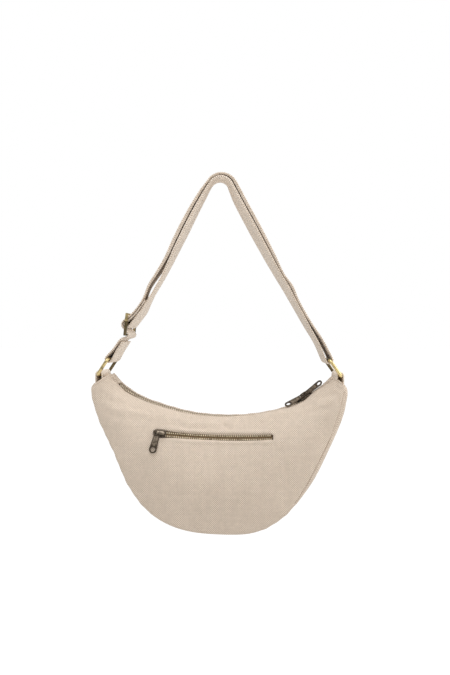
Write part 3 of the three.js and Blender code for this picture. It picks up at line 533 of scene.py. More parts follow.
def front_grid():
    s = station(front_places)
    edge_z = s["zip_z"] + s["lift"]
    drop = edge_z - s["seam_z"]
    upper = np.full_like(front_places, SLOT_MIDDLE_FALL)
    lower = upper.copy()
    for k in range(6):
        for fall, way in ((upper, 1), (lower, -1)):
            x = s["zip_x"] + (s["seam_x"] - s["zip_x"]) * fall
            near_x = np.clip(x, SLOT_LEFT - 8, SLOT_RIGHT + 8)
            half = slot_half(near_x) - (SLOT_LOWER_COVER if way < 0 else 0.0)
            fall[:] = (edge_z - slot_z(near_x) - way * half * SLOT_SLOPE) / drop
    from_slot = np.maximum(slot_left_place - front_places, front_places - slot_right_place)
    far = smooth_step(0.1, 2.4, from_slot)
    upper = np.clip(upper + (FAR_UPPER_FALL - upper) * far, 0.1, 0.6)
    lower = np.clip(lower + (FAR_LOWER_FALL - lower) * far, upper + 0.05, 0.75)
    above = smooth_step(0, 1, np.linspace(0, 1, FRONT_ROWS[0], endpoint=False))
    inside = np.linspace(0, 1, FRONT_ROWS[1], endpoint=False)
    below = np.linspace(0, 1, FRONT_ROWS[2] + 1) ** 1.25
    falls = np.concatenate([
        upper[:, None] * above,
        upper[:, None] + (lower - upper)[:, None] * inside,
        lower[:, None] + (1 - lower)[:, None] * below,
    ], 1)
    places = np.repeat(front_places[:, None], falls.shape[1], 1)
    middle = ((upper + lower) / 2)[:, None]
    near = np.exp(-((falls - middle) / (1.3 * (lower - upper)[:, None])) ** 2)
    near = near * (1 - smooth_step(0.2, 1.6, from_slot))[:, None]
    here = panel_point(places, falls, -1)[..., 0]
    wanted = panel_point(places, np.broadcast_to(middle, falls.shape), -1)[..., 0]
    slope = (panel_point(places + 0.01, falls, -1)[..., 0] - here) / 0.01
    places = np.clip(places + near * (wanted - here) / slope, 0, LAST)
    return panel_point(places, falls, -1), places


def slot_distance(x, z):
    off_end = np.maximum(SLOT_LEFT - x, x - SLOT_RIGHT)
    above = (z - slot_z(np.clip(x, SLOT_LEFT, SLOT_RIGHT))) / SLOT_SLOPE
    off_edge = np.where(above > 0, above, -above + SLOT_LOWER_COVER) - slot_half(x)
    within = np.minimum(np.maximum(off_end, off_edge), 0)
    return np.hypot(np.maximum(off_end, 0), np.maximum(off_edge, 0)) + within


def sewn_edge(from_edge, run, pucker, wave):
    dip = -SEAM_DIP * np.exp(-(from_edge / SEAM_DIP_WIDTH) ** 2)
    puff = np.exp(-((from_edge - SEAM_PUFF_FROM) / SEAM_PUFF_WIDTH) ** 2)
    return dip + pucker * puff * (np.sin(run / wave) + 0.6 * np.sin(run / (1.71 * wave) + 1.3))


def zip_pucker(from_edge, wave):
    return ZIP_PUCKER * np.exp(-((from_edge - ZIP_PUCKER_FROM) / ZIP_PUCKER_WIDTH) ** 2) * wave


def run_along(line):
    return np.concatenate([[0], np.cumsum(np.linalg.norm(np.diff(line, axis=0), axis=1))])


def points_at(line, run, places):
    return np.stack([np.interp(places, run, column) for column in line.T], -1)


def headings(line):
    ahead = np.gradient(line, axis=0)
    return ahead / np.linalg.norm(ahead, axis=1, keepdims=True)


def side_seam(count):
    run = run_along(SIDE_SEAM)
    return points_at(SIDE_SEAM, run, np.linspace(0, run[-1], count))


# At the right the gusset's strip is drawn forwards, and its seam lies a little way in on the front
def side_seam_height(x, z):
    line = side_seam(160)
    away = np.hypot(x[..., None] - line[:, 0], z[..., None] - line[:, 1])
    nearest = np.argmin(away, -1)
    heading = headings(line)[nearest]
    outside = (z - line[nearest, 1]) * heading[..., 0] - (x - line[nearest, 0]) * heading[..., 1]
    share = nearest / (len(line) - 1)
    ends = smooth_step(0, 0.05, share) * (1 - smooth_step(0.8, 1, share))
    groove = SIDE_SEAM_DEPTH * np.exp(-(np.min(away, -1) / SIDE_SEAM_WIDTH) ** 2)
    return -ends * (groove + SIDE_SEAM_TURN * np.clip(outside, 0, 6))


def cloth_uv(grid):
    steps = np.linalg.norm(np.diff(grid[..., 1:], axis=1), axis=-1)
    from_zip = np.concatenate([np.zeros((len(grid), 1)), np.cumsum(steps, 1)], 1)
    return np.stack([grid[..., 0], grid[:, -1:, 2] + from_zip[:, -1:] - from_zip], -1)


front, front_place = front_grid()
front_uv = cloth_uv(front)
front_x = front[..., 0]
front_z = front[..., 2]
from_slot_edge = slot_distance(front_x, front_z)
from_seam = front_uv[..., 1] - front_uv[:, -1:, 1]
from_zip_edge = front_uv[:, :1, 1] - front_uv[..., 1]
front_height = fold_height(front_x, front_z) + uneven_height(front_x, front_z)
front_height *= smooth_step(0, 5, from_zip_edge) * smooth_step(0, 14, from_seam)
front_height *= smooth_step(-1, 7, from_slot_edge)
front_height += sewn_edge(from_seam, front_place * 24, SEAM_PUCKER, 2.4)
front_height += zip_pucker(from_zip_edge, np.sin(front_x / 3.4 + 0.6 * np.sin(front_x / 11)))
lip = np.maximum(from_slot_edge, 0)
lip_turn = -LIP_TURN * np.exp(-(lip / LIP_TURN_WIDTH) ** 2)
front_height += lip_turn + LIP_ROLL * np.exp(-((lip - LIP_ROLL_FROM) / LIP_ROLL_WIDTH) ** 2)
lip_wave = np.sin(front_x / 2.6 + np.sin(front_x / 9.0))
front_height += SLOT_PUCKER * np.exp(-((lip - SLOT_PUCKER_FROM) / SLOT_PUCKER_WIDTH) ** 2) * lip_wave
front_height += side_seam_height(front_x, front_z)
# The pocket's pull lies on the cloth below its slider and presses it flat as far as it swings
from_press = np.hypot(front_x - POCKET_PULL_PRESS["x"], front_z - POCKET_PULL_PRESS["z"])
pressed = 1 - smooth_step(1.0, 1.8, from_press / POCKET_PULL_PRESS["radius"])
front_height -= pressed * np.maximum(front_height + POCKET_PULL_PRESS["depth"], 0)
# The grid's columns run left to right and its rows downwards, so its faces are turned round
front_shape = front - grid_normals(front) * front_height[..., None]
under_pull = np.exp(-((front_x - PULL_REST_X) / PULL_REST_WIDTH) ** 2 - from_zip_edge / PULL_REST_REACH)
front_shape[..., 2] += PULL_REST_RISE * under_pull
front_shape = front_shape[::-1]
slot_columns = slice(FRONT_COLUMNS[0], FRONT_COLUMNS[0] + FRONT_COLUMNS[1])
slot_rows = slice(FRONT_ROWS[0], FRONT_ROWS[0] + FRONT_ROWS[1])
cloth_there = np.ones((front.shape[0] - 1, front.shape[1] - 1), bool)
cloth_there[slot_columns, slot_rows] = False
front_panel = cloth_piece("front_cloth", front_shape, front_uv[::-1], canvas, cloth_there[::-1])
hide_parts("front_panel")
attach(front_panel, "bag")


# Back panel. The same crescent of canvas without the pocket, crowned a little less because it lies
# against the wearer. It is sewn to the gusset and to the zip in the same way, and its turned edge
# stands up a little behind the slider.
BACK_COLUMNS = 190
BACK_ROWS = 84
EDGE_RISE = 8.2
RISE_X = 103.5
RISE_WIDTH = 7.5
RISE_REACH = 7.0
back_place = np.repeat(np.linspace(0, LAST, BACK_COLUMNS)[:, None], BACK_ROWS, 1)
back_fall = np.repeat((np.linspace(0, 1, BACK_ROWS) ** 1.5)[None], BACK_COLUMNS, 0)
back = panel_point(back_place, back_fall, 1)
back_uv = cloth_uv(back)
back_from_seam = back_uv[..., 1] - back_uv[:, -1:, 1]
back_from_zip = back_uv[:, :1, 1] - back_uv[..., 1]
back_x = back[..., 0]
back_z = back[..., 2]
back_height = 0.8 * fold_height(-back_x, back_z - 4) + uneven_height(back_x + 40, back_z)
back_height *= smooth_step(0, 9, back_from_zip) * smooth_step(0, 14, back_from_seam)
back_height += sewn_edge(back_from_seam, back_place * 24 + 3, SEAM_PUCKER, 2.6)
back_height += zip_pucker(back_from_zip, np.sin(back_x / 3.1 + 2))
back_shape = back + grid_normals(back) * back_height[..., None]
behind_slider = np.exp(-((back_x - RISE_X) / RISE_WIDTH) ** 2 - back_from_zip / RISE_REACH)
back_shape[..., 2] += EDGE_RISE * behind_slider
back_panel = cloth_piece("back_cloth", back_shape, back_uv, canvas)
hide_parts("back_panel")
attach(back_panel, "bag")


# Gusset. One long strip of the same canvas between the two panels, from the zip's left end over the
# corner, round under the bag and up to the zip's right end. It is sewn to both panels with a row of
# stitches along each edge, and bulges outwards with what the bag holds.
GAP = 0.4
ZIP_START = 1.45
ZIP_END = 11.78
FLAP_CLEARANCE = 0.1
FLAP_SINK = 0.9
END_INSET = 4.4
GUSSET_STEP = 1.5
GUSSET_ROWS = 31
GUSSET_STITCH_INSET = 1.7
GROOVE = 2.2
GROOVE_WIDTH = 1.6
STITCH_SPACING = 2.6
STITCH_LENGTH = 2.0
STITCH_RADIUS = 0.27
STITCH_LIFT = 0.1
STITCH_SIDES = 6
# Rings of points along a stitch: share of its length, share of its girth, and rise
STITCH_RINGS = (
    (-0.5, 0.25, -0.9), (-0.36, 0.85, -0.1), (0.0, 1.0, 0.3), (0.36, 0.85, -0.1), (0.5, 0.25, -0.9),
)
FIBRE_SCALE = 1400.0
THREAD_DARK = (0.30, 0.21, 0.135, 1)
THREAD_PALE = (0.50, 0.38, 0.27, 1)


def gusset_edge():
    inset = CLOTH + GAP
    parts = []

    def on_top(places):
        s = station(places)
        height = s["zip_z"] - FLAP_SINK
        parts.append(np.stack([s["zip_x"], height, s["zip_half"] - inset, 0 * places], -1))

    def on_end(places, falls):
        p = panel_point(places, falls, 1)
        half = p[:, 1] - inset - END_INSET * (1 - falls)
        parts.append(np.stack([p[:, 0], p[:, 2], half, station(places)["bulge"] * falls], -1))

    ends = np.linspace(0.12, 0.88, 12)
    on_top(np.linspace(ZIP_START - FLAP_CLEARANCE, 0.25, 16))
    on_end(np.zeros(12), ends)
    seam_places = np.linspace(0.12, LAST - 0.12, 320)
    on_end(seam_places, np.ones(320))
    on_end(np.full(12, float(LAST)), ends[::-1])
    on_top(np.linspace(LAST - 0.25, ZIP_END + FLAP_CLEARANCE, 22))
    return np.concatenate(parts)


def strip_uv(run, across):
    return np.stack(np.broadcast_arrays(run[:, None], across), -1)


def even_steps(line, step):
    run = run_along(line[:, :2])
    places = np.linspace(0, run[-1], int(round(run[-1] / step)) + 1)
    return points_at(line, run, places), places


def eased(line, times):
    for k in range(times):
        line[1:-1] = 0.25 * line[:-2] + 0.5 * line[1:-1] + 0.25 * line[2:]
    return line


gusset_line, gusset_run = even_steps(gusset_edge(), GUSSET_STEP)
gusset_line = eased(gusset_line, 3)
gusset_heading = headings(gusset_line[:, :2])
gusset_out = np.stack([gusset_heading[:, 1], 0 * gusset_run, -gusset_heading[:, 0]], -1)
gusset_share = -np.cos(np.linspace(0, np.pi, GUSSET_ROWS))
gusset_y = gusset_line[:, 2:3] * gusset_share
gusset_from_edge = gusset_line[:, 2:3] - np.abs(gusset_y)
gusset_rise = CLOTH + gusset_line[:, 3:4] * (1 - gusset_share ** 2)
gusset_rise = gusset_rise * smooth_step(-1.2, 3.4, gusset_from_edge)
gusset_rise = gusset_rise - GROOVE * np.exp(-(gusset_from_edge / GROOVE_WIDTH) ** 2)
gusset_rise = gusset_rise + sewn_edge(gusset_from_edge, gusset_run[:, None], SEAM_PUCKER, 2.5)
gusset_base = np.stack([gusset_line[:, 0], 0 * gusset_run, gusset_line[:, 1]], -1)[:, None, :]
gusset_grid = gusset_base + gusset_out[:, None, :] * gusset_rise[..., None]
gusset_grid[..., 1] = gusset_y
gusset_uv = strip_uv(gusset_run, gusset_y)
# Walked from left to right with rows from front to back the strip would face inwards, so it is turned
gusset = cloth_piece("gusset_cloth", gusset_grid[:, ::-1], gusset_uv[:, ::-1], canvas)
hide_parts("gusset")
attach(gusset, "bag")

# Rows of like pieces: a small piece set along rows of points at an even spacing, its own z outwards
rows_tree = bpy.data.node_groups.new("pieces_along_rows", "GeometryNodeTree")
ROWS_INPUTS = {"Rows": "Geometry", "Piece": "Object", "Spacing": "Float", "Finish": "Material"}
for socket_name, socket_kind in ROWS_INPUTS.items():
    rows_tree.interface.new_socket(socket_name, in_out="INPUT", socket_type="NodeSocket" + socket_kind)
rows_tree.interface.new_socket("Result", in_out="OUTPUT", socket_type="NodeSocketGeometry")
rows_in = add_node(rows_tree, "NodeGroupInput")
rows_curve = add_node(rows_tree, "GeometryNodeMeshToCurve", Mesh=rows_in.outputs["Rows"])
rows_even = add_node(
    rows_tree, "GeometryNodeResampleCurve", {"mode": "LENGTH"},
    Curve=rows_curve.outputs[0], Length=rows_in.outputs["Spacing"],
)
rows_out = add_node(rows_tree, "GeometryNodeInputNamedAttribute", {"data_type": "FLOAT_VECTOR"}, Name="out")
rows_way = add_node(rows_tree, "GeometryNodeInputTangent")
rows_turn = add_node(
    rows_tree, "FunctionNodeAxesToRotation", {"primary_axis": "Z", "secondary_axis": "X"},
    i0=rows_out.outputs[0], i1=rows_way.outputs[0],
)
rows_piece = add_node(
    rows_tree, "GeometryNodeObjectInfo", Object=rows_in.outputs["Piece"], As_Instance=True,
)
rows_set = add_node(
    rows_tree, "GeometryNodeInstanceOnPoints", Points=rows_even.outputs[0],
    Instance=rows_piece.outputs["Geometry"], Rotation=rows_turn.outputs[0],
)
rows_real = add_node(rows_tree, "GeometryNodeRealizeInstances", Geometry=rows_set.outputs[0])
rows_coat = add_node(
    rows_tree, "GeometryNodeSetMaterial", Geometry=rows_real.outputs[0], Material=rows_in.outputs["Finish"],
)
add_node(rows_tree, "NodeGroupOutput", Result=rows_coat.outputs[0])


def rows_of(name, rows, small_piece, spacing, material):
    points = np.concatenate([row[0] for row in rows])
    outs = np.concatenate([row[1] for row in rows])
    edges = []
    start = 0
    for row in rows:
        edges += [(start + k, start + k + 1) for k in range(len(row[0]) - 1)]
        start += len(row[0])
    guide_mesh = bpy.data.meshes.new(name + "_guide")
    guide_mesh.from_pydata([tuple(p) for p in points * MM], edges, [])
    attribute = guide_mesh.attributes.new("out", "FLOAT_VECTOR", "POINT")
    attribute.data.foreach_set("vector", outs.astype(np.float32).ravel())
    guide = bpy.data.objects.new(name + "_guide", guide_mesh)
    bpy.context.scene.collection.objects.link(guide)
    modifier = guide.modifiers.new("rows", "NODES")
    modifier.node_group = rows_tree
    values = {"Piece": small_piece, "Spacing": spacing * MM, "Finish": material}
    for item in rows_tree.interface.items_tree:
        if item.name in values:
            modifier[item.identifier] = values[item.name]
    seen = guide.evaluated_get(bpy.context.evaluated_depsgraph_get())
    mesh = bpy.data.meshes.new_from_object(seen)
    mesh.name = name
    guide.modifiers.remove(modifier)
    bpy.data.objects.remove(guide)
    piece = bpy.data.objects.new(name, mesh)
    bpy.context.scene.collection.objects.link(piece)
    return piece


def thread_finish(name, dark, pale):
    material = new_material(name)
    tree = material.node_tree
    where = add_node(tree, "ShaderNodeTexCoord").outputs["Object"]
    fibre = add_node(tree, "ShaderNodeTexNoise", Vector=where, Scale=FIBRE_SCALE, Detail=2.0).outputs[0]
    colour = mix_colours(tree, fibre, dark, pale)
    relief = add_node(tree, "ShaderNodeBump", Height=fibre, Strength=0.4, Distance=0.0002)
    finish_material(
        tree, Base_Color=colour, Roughness=0.75, Normal=relief.outputs[0], Sheen_Weight=0.2,
    )
    return material


def stitch_shape(length, radius):
    points = []
    for along, girth, rise in STITCH_RINGS:
        for k in range(STITCH_SIDES):
            angle = 2 * math.pi * k / STITCH_SIDES
            points.append((
                length * along,
                radius * girth * math.cos(angle),
                radius * (rise + girth * math.sin(angle)),
            ))
    faces = []
    for ring in range(len(STITCH_RINGS) - 1):
        here = ring * STITCH_SIDES
        ahead = here + STITCH_SIDES
        for k in range(STITCH_SIDES):
            l = (k + 1) % STITCH_SIDES
            faces.append((here + l, ahead + l, ahead + k, here + k))
    faces.append(tuple(range(STITCH_SIDES))[::-1])
    faces.append(tuple(range(len(points) - STITCH_SIDES, len(points))))
    return points, faces


thread = thread_finish("linen_thread", THREAD_DARK, THREAD_PALE)
stitch = add_mesh("stitch", *stitch_shape(STITCH_LENGTH, STITCH_RADIUS), thread)

gusset_face = grid_normals(gusset_grid[:, ::-1])[:, ::-1]
gusset_rows = []
row_from_edge = np.median(gusset_from_edge, 0)[:GUSSET_ROWS // 2]
stitch_row = int(np.argmin(np.abs(row_from_edge - GUSSET_STITCH_INSET)))
for edge_row in (stitch_row, GUSSET_ROWS - 1 - stitch_row):
    facing = gusset_face[:, edge_row]
    gusset_rows.append((gusset_grid[:, edge_row] + STITCH_LIFT * facing, facing))
gusset_stitches = rows_of("gusset_stitches", gusset_rows, stitch, STITCH_SPACING, thread)
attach(gusset_stitches, "bag")

# One row of stitches lies in the groove of the right side seam
side_seam_points = []
side_seam_outs = []
front_face = grid_normals(front_shape)
for seam_x, seam_z in side_seam(60)[1:-4]:
    from_here = (front_shape[..., 0] - seam_x) ** 2 + (front_shape[..., 2] - seam_z) ** 2
    near_i, near_j = np.unravel_index(np.argmin(from_here), from_here.shape)
    near_point = front_shape[near_i, near_j]
    facing = front_face[near_i, near_j]
    rise = facing[0] * (seam_x - near_point[0]) + facing[2] * (seam_z - near_point[2])
    side_seam_points.append((seam_x, near_point[1] - rise / facing[1] - STITCH_LIFT, seam_z))
    side_seam_outs.append(facing)
side_seam_rows = [(np.array(side_seam_points), np.array(side_seam_outs))]
side_seam_stitches = rows_of("side_seam_stitches", side_seam_rows, stitch, STITCH_SPACING, thread)
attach(side_seam_stitches, "bag")

# One row runs along each panel's turned edge beside the top zip
EDGE_STITCH_FALL = 1.9
edge_rows = []
for shape, distance in ((front_shape[::-1], from_zip_edge), (back_shape, back_from_zip)):
    facing = grid_normals(shape)
    facing = facing if facing[len(shape) // 2, -1, 1] * shape[len(shape) // 2, -1, 1] > 0 else -facing
    picked = []
    picked_out = []
    for i in range(6, len(shape) - 6):
        share = np.interp(EDGE_STITCH_FALL, distance[i], np.arange(shape.shape[1]))
        j = int(share)
        part = share - j
        picked.append(shape[i, j] * (1 - part) + shape[i, j + 1] * part + STITCH_LIFT * facing[i, j])
        picked_out.append(facing[i, j])
    edge_rows.append((np.array(picked), np.array(picked_out)))
edge_stitches = rows_of("zip_edge_stitches", edge_rows, stitch, STITCH_SPACING, thread)
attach(edge_stitches, "bag")


# Pocket zip. Two woven cotton tapes lie behind the slot, each with a row of brass teeth clamped on its
# inner edge. The teeth are locked from the slider at the left to the right end, and one pull hangs
# down from the slider's bail over the cloth.
TAPE_THICK = 0.8
TAPE_DEPTH = 3.0
TAPE_REACH = 8.2
TAPE_INNER = 0.25
TAPE_DARK = (0.09, 0.06, 0.034, 1)
TAPE_PALE = (0.27, 0.195, 0.12, 1)
TOOTH_PITCH = 2.54
TOOTH_LEG_HALF = 0.72
TOOTH_HEAD_HALF = 0.58
TOOTH_REACH = 2.9
POCKET_SLIDER_X = -71.0
CHAIN_TO_POST = 2.6
# Dark brown of the tooth heads: painted shade in the middle of the chain
TEETH_HEAD_SHADE = (0.20, 0.135, 0.07, 1)
TEETH_PALE = (0.80, 0.68, 0.48, 1)
TEETH_DARK = (0.10, 0.065, 0.035, 1)
SLIDER_LENGTH = 13.0
SLIDER_HALF = 5.0
PLATE_THICK = 1.2
PLATE_LEVEL = 1.5
PLATE_TOP = PLATE_LEVEL + PLATE_THICK
BAIL_HALF_LENGTH = 4.2
BAIL_BAR = 1.3
BAIL_HALF_WIDTH = 0.9
BAIL_HEIGHT = 6.2
BAIL_ROUND = 2.0
PULL_LENGTH = 26.5
PULL_THICK = 1.4
PULL_NECK_HALF = 3.4
PULL_END_HALF = 4.6
PULL_EYE_HALF = 2.3
PULL_EYE_LENGTH = 3.5
PULL_PIN = 0.7
PULL_HOLE_RADIUS = 2.6
# The pull's sunk field and the thin web behind it: where each starts and ends, and its half widths there
PULL_FIELD = (6.3, 17.2, 2.15, 2.85)
PULL_WEB = (5.9, 17.6, 2.5, 3.2)
PULL_WEB_THICK = 0.8
PULL_WEB_RUBBED = 0.55
POCKET_PULL_SWING = -8.0
POCKET_PULL_TUCK = 5.0
POCKET_PULL_LEVEL = 1.6
CAP_HALF_WIDTH = 1.7
CAP_THICK = 1.5
CAP_RAISE = 0.2
BRONZE_FACE = (0.098, 0.075, 0.055, 1)
BRONZE_DARK = (0.03, 0.025, 0.02, 1)
BRONZE_EDGE = (0.44, 0.36, 0.27, 1)


def unit(v):
    return v / np.linalg.norm(v)


# The spot of the front panel at a given x and z, found step by step, with the three axes there
def front_frame(x, z):
    place = LAST * ((x + 150) / 300)
    fall = 0.2
    step = 1e-3
    for k in range(20):
        p = panel_point(place, fall, -1)
        by_place = (panel_point(place + step, fall, -1) - p) / step
        by_fall = (panel_point(place, fall + step, -1) - p) / step
        determinant = by_place[0] * by_fall[2] - by_fall[0] * by_place[2]
        miss_x = x - p[0]
        miss_z = z - p[2]
        place += (miss_x * by_fall[2] - by_fall[0] * miss_z) / determinant
        fall += (by_place[0] * miss_z - miss_x * by_place[2]) / determinant
    origin = panel_point(place, fall, -1)
    along = unit(panel_point(place + step, fall, -1) - origin)
    down = unit(panel_point(place, fall + step, -1) - origin)
    out = unit(np.cross(down, along))
    return origin, along, unit(np.cross(out, along)), out


def slot_frame(x):
    origin, _, _, out = front_frame(x, slot_z(x))
    along = unit(front_frame(x + 1, slot_z(x + 1))[0] - origin)
    return origin, along, unit(np.cross(out, along)), out


def strip_along(frames, across, levels, depth):
    rings = []
    for origin, along, up, out in frames:
        base = origin - depth * out
        rings.append([base + a * up + l * out for a, l in zip(across, levels)])
    return np.array(rings)


# Faces between rings of points, closed at both ends, or round to the first ring where they are joined
def ring_faces(count, sides, joined=False):
    faces = []
    for i in range(count if joined else count - 1):
        here = i * sides
        ahead = (i + 1) % count * sides
        for k in range(sides):
            l = (k + 1) % sides
            faces.append((here + k, here + l, ahead + l, ahead + k))
    if not joined:
        faces.append(tuple(range(sides))[::-1])
        faces.append(tuple(range((count - 1) * sides, count * sides)))
    return faces


def closed_bar(name, rings, material, uv):
    piece = add_mesh(name, rings.reshape(-1, 3), ring_faces(*rings.shape[:2]), material)
    set_uv(piece, uv.reshape(-1, 2))
    shape = bmesh.new()
    shape.from_mesh(piece.data)
    bmesh.ops.recalc_face_normals(shape, faces=shape.faces)
    shape.to_mesh(piece.data)
    shape.free()
    return piece


tape_finish = cloth_finish(
    "zip_tape", thread=0.55, contrast=0.5, slubs=0.4,
    dark=TAPE_DARK, pale=TAPE_PALE, bump=0.6, sheen=0.1,
)


def tape_piece(name, frames, side, reach, depth):
    half = TAPE_THICK / 2
    inner = side * TAPE_INNER
    outer = side * reach
    middle = (inner + outer) / 2
    across = (inner, middle, outer, outer, middle, inner)
    levels = (-half, -half, -half, half, half, half)
    rings = strip_along(frames, across, levels, depth)
    return closed_bar(name, rings, tape_finish, strip_uv(run_along(rings[:, 0]), across))


pocket_frames = [slot_frame(x) for x in np.linspace(SLOT_LEFT - 3, SLOT_RIGHT + 3, 60)]
for tape_name, side in (("upper", 1), ("lower", -1)):
    tape = tape_piece("pocket_" + tape_name + "_cotton", pocket_frames, side, TAPE_REACH, TAPE_DEPTH)
    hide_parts("pocket_tape_" + tape_name)
    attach(tape, "bag")


# Metal wear and painted light: patina clouds, fine scratches, and a bright share per face, which on most
# pieces is edges that handling has rubbed bright and on the rings is a painted highlight on the near bars
wear_and_light = bpy.data.node_groups.new("metal_wear_and_painted_light", "ShaderNodeTree")
WEAR_STRETCH = (400, 400, 3200)
group_sockets(wear_and_light, {"Cloud Scale": 300.0}, ("Patina", "Scratches", "Rubbed"))
wear_in = add_node(wear_and_light, "NodeGroupInput")
wear_where = add_node(wear_and_light, "ShaderNodeTexCoord").outputs["Object"]
wear_cloud = add_node(
    wear_and_light, "ShaderNodeTexNoise", Vector=wear_where, Scale=wear_in.outputs["Cloud Scale"], Detail=5.0,
)
wear_patina = add_node(
    wear_and_light, "ShaderNodeMapRange", Value=wear_cloud.outputs[0], From_Min=0.42, From_Max=0.68,
).outputs[0]
wear_drawn = add_node(wear_and_light, "ShaderNodeMapping", Vector=wear_where, Scale=WEAR_STRETCH)
wear_fine = add_node(wear_and_light, "ShaderNodeTexNoise", Vector=wear_drawn.outputs[0], Scale=1.0, Detail=3.0)
bright_mark = add_node(wear_and_light, "ShaderNodeAttribute", {"attribute_name": "edge"})
wear_clean = calculate(wear_and_light, "SUBTRACT", 1.15, wear_patina)
rubbed_or_lit = calculate(wear_and_light, "MULTIPLY", bright_mark.outputs["Fac"], wear_clean)
add_node(
    wear_and_light, "NodeGroupOutput", Patina=wear_patina, Scratches=wear_fine.outputs[0], Rubbed=rubbed_or_lit,
)


def metal_finish(name, face, dark, bright, rough, cloud_scale, patina):
    material = new_material(name)
    tree = material.node_tree
    worn_or_lit = add_node(tree, "ShaderNodeGroup", {"node_tree": wear_and_light}, Cloud_Scale=cloud_scale).outputs
    base = mix_colours(tree, calculate(tree, "MULTIPLY", worn_or_lit["Patina"], patina), face, dark)
    colour = mix_colours(tree, worn_or_lit["Rubbed"], base, bright)
    roughness = add_node(
        tree, "ShaderNodeMapRange", Value=worn_or_lit["Scratches"],
        From_Min=0.3, From_Max=0.7, To_Min=rough - 0.08, To_Max=rough + 0.14,
    )
    relief = add_node(tree, "ShaderNodeBump", Height=worn_or_lit["Scratches"], Strength=0.12, Distance=0.0002)
    finish_material(
        tree, Base_Color=colour, Metallic=1.0, Roughness=roughness.outputs[0], Normal=relief.outputs[0],
    )
    return material


teeth_finish = metal_finish(
    "brass_teeth", TEETH_HEAD_SHADE, TEETH_DARK, TEETH_PALE, rough=0.38, cloud_scale=500.0, patina=0.45,
)
bronze_finish = metal_finish(
    "dark_bronze", BRONZE_FACE, BRONZE_DARK, BRONZE_EDGE, rough=0.40, cloud_scale=320.0, patina=0.35,
)


# The edge mark per face says how much bright metal shows: rubbed edges, and on the rings a painted
# highlight and painted shade
def marked(piece, marks):
    attribute = piece.data.attributes.new("edge", "FLOAT", "FACE")
    attribute.data.foreach_set("value", np.asarray(marks, np.float32))
    return piece


# A tooth's own axes: x along the chain, y from the far side's teeth to its own tape, z outwards. Each
# ring of points has its place across, its half length, its half height and its brightness: the legs are
# rubbed bright, and the heads in the chain's middle stay dark as painted shade between the locked heads.
TOOTH_CUT = 0.22
TOOTH_RINGS = (
    (-0.7, 0.30, 0.42, 0.0),
    (-0.35, TOOTH_HEAD_HALF, 0.52, 0.0),
    (0.9, TOOTH_HEAD_HALF, 0.52, 0.0),
    (1.15, TOOTH_LEG_HALF, 0.82, 0.3),
    (1.5, TOOTH_LEG_HALF, 0.95, 1.0),
    (2.5, TOOTH_LEG_HALF, 0.95, 1.0),
    (TOOTH_REACH, 0.5, 0.7, 1.0),
)


def tooth_shape():
    near = 1 - TOOTH_CUT
    upper = [(1, near), (near, 1), (-near, 1), (-1, near)]
    corners = upper + [(-x, -z) for x, z in upper]
    points = []
    for across, half, level, rubbed in TOOTH_RINGS:
        points += [(half * x, across, level * z) for x, z in corners]
    faces = ring_faces(len(TOOTH_RINGS), len(corners))
    marks = []
    for here, ahead in zip(TOOTH_RINGS, TOOTH_RINGS[1:]):
        marks += [(here[3] + ahead[3]) / 2] * len(corners)
    return points, [face[::-1] for face in faces], marks + [0.0, 1.0]


tooth_points, tooth_faces, tooth_marks = tooth_shape()
tooth = marked(add_mesh("tooth", tooth_points, tooth_faces, teeth_finish), tooth_marks)


# The row on the far side of the chain runs the other way, half a pitch on
def teeth_rows(frames, depth):
    line = np.array([f[0] - depth * f[3] for f in frames])
    outs = np.array([f[3] for f in frames])
    run = run_along(line)
    count = int((run[-1] - TOOTH_PITCH) / TOOTH_PITCH)
    rows = []
    for way, start in ((1, 0.0), (-1, TOOTH_PITCH / 2)):
        stops = start + TOOTH_PITCH * np.arange(count + 1)
        rows.append((points_at(line, run, stops)[::way], points_at(outs, run, stops)[::way]))
    return rows


chain_places = np.linspace(POCKET_SLIDER_X - CHAIN_TO_POST, SLOT_RIGHT + 1.5, 60)
pocket_chain_rows = teeth_rows([slot_frame(x) for x in chain_places], TAPE_DEPTH)
pocket_teeth = rows_of("pocket_teeth", pocket_chain_rows, tooth, TOOTH_PITCH, teeth_finish)
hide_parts("pocket_chain")
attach(pocket_teeth, "bag")


def arc(centre, radius, start, end, steps):
    angles = np.radians(np.linspace(start, end, steps + 1))
    return [(centre[0] + radius * math.cos(a), centre[1] + radius * math.sin(a)) for a in angles]


def rectangle(from_x, from_y, to_x, to_y):
    return [(from_x, from_y), (to_x, from_y), (to_x, to_y), (from_x, to_y)]


# A flat metal piece stamped to an outline with holes, its edges rolled over by the bevel. A face whose
# normal leans between these two shares of the upright belongs to the rolled edge and is rubbed bright.
ROLLED_LEAN = (0.15, 0.97)
SHARP_ANGLE = 35.0


def stamped(loops, thick, bevel, rubbed=0.45, plain=0.0):
    outline = bpy.data.curves.new("outline", "CURVE")
    outline.dimensions = "2D"
    outline.fill_mode = "BOTH"
    outline.extrude = thick / 2 - bevel
    outline.bevel_depth = bevel
    outline.bevel_resolution = 1
    outline.offset = -bevel
    for loop in loops:
        spline = outline.splines.new("POLY")
        spline.points.add(len(loop) - 1)
        for point, (x, y) in zip(spline.points, loop):
            point.co = (x, y, 0, 1)
        spline.use_cyclic_u = True
    holder = bpy.data.objects.new("outline", outline)
    bpy.context.scene.collection.objects.link(holder)
    mesh = bpy.data.meshes.new_from_object(holder.evaluated_get(bpy.context.evaluated_depsgraph_get()))
    bpy.data.objects.remove(holder)
    shape = bmesh.new()
    shape.from_mesh(mesh)
    bmesh.ops.remove_doubles(shape, verts=shape.verts, dist=1e-4)
    bmesh.ops.recalc_face_normals(shape, faces=shape.faces)
    shape.normal_update()
    points = np.array([v.co[:] for v in shape.verts])
    faces = [tuple(v.index for v in f.verts) for f in shape.faces]
    least, most = ROLLED_LEAN
    marks = [rubbed if least < abs(f.normal.z) < most else plain for f in shape.faces]
    shape.free()
    bpy.data.meshes.remove(mesh)
    return points, faces, marks


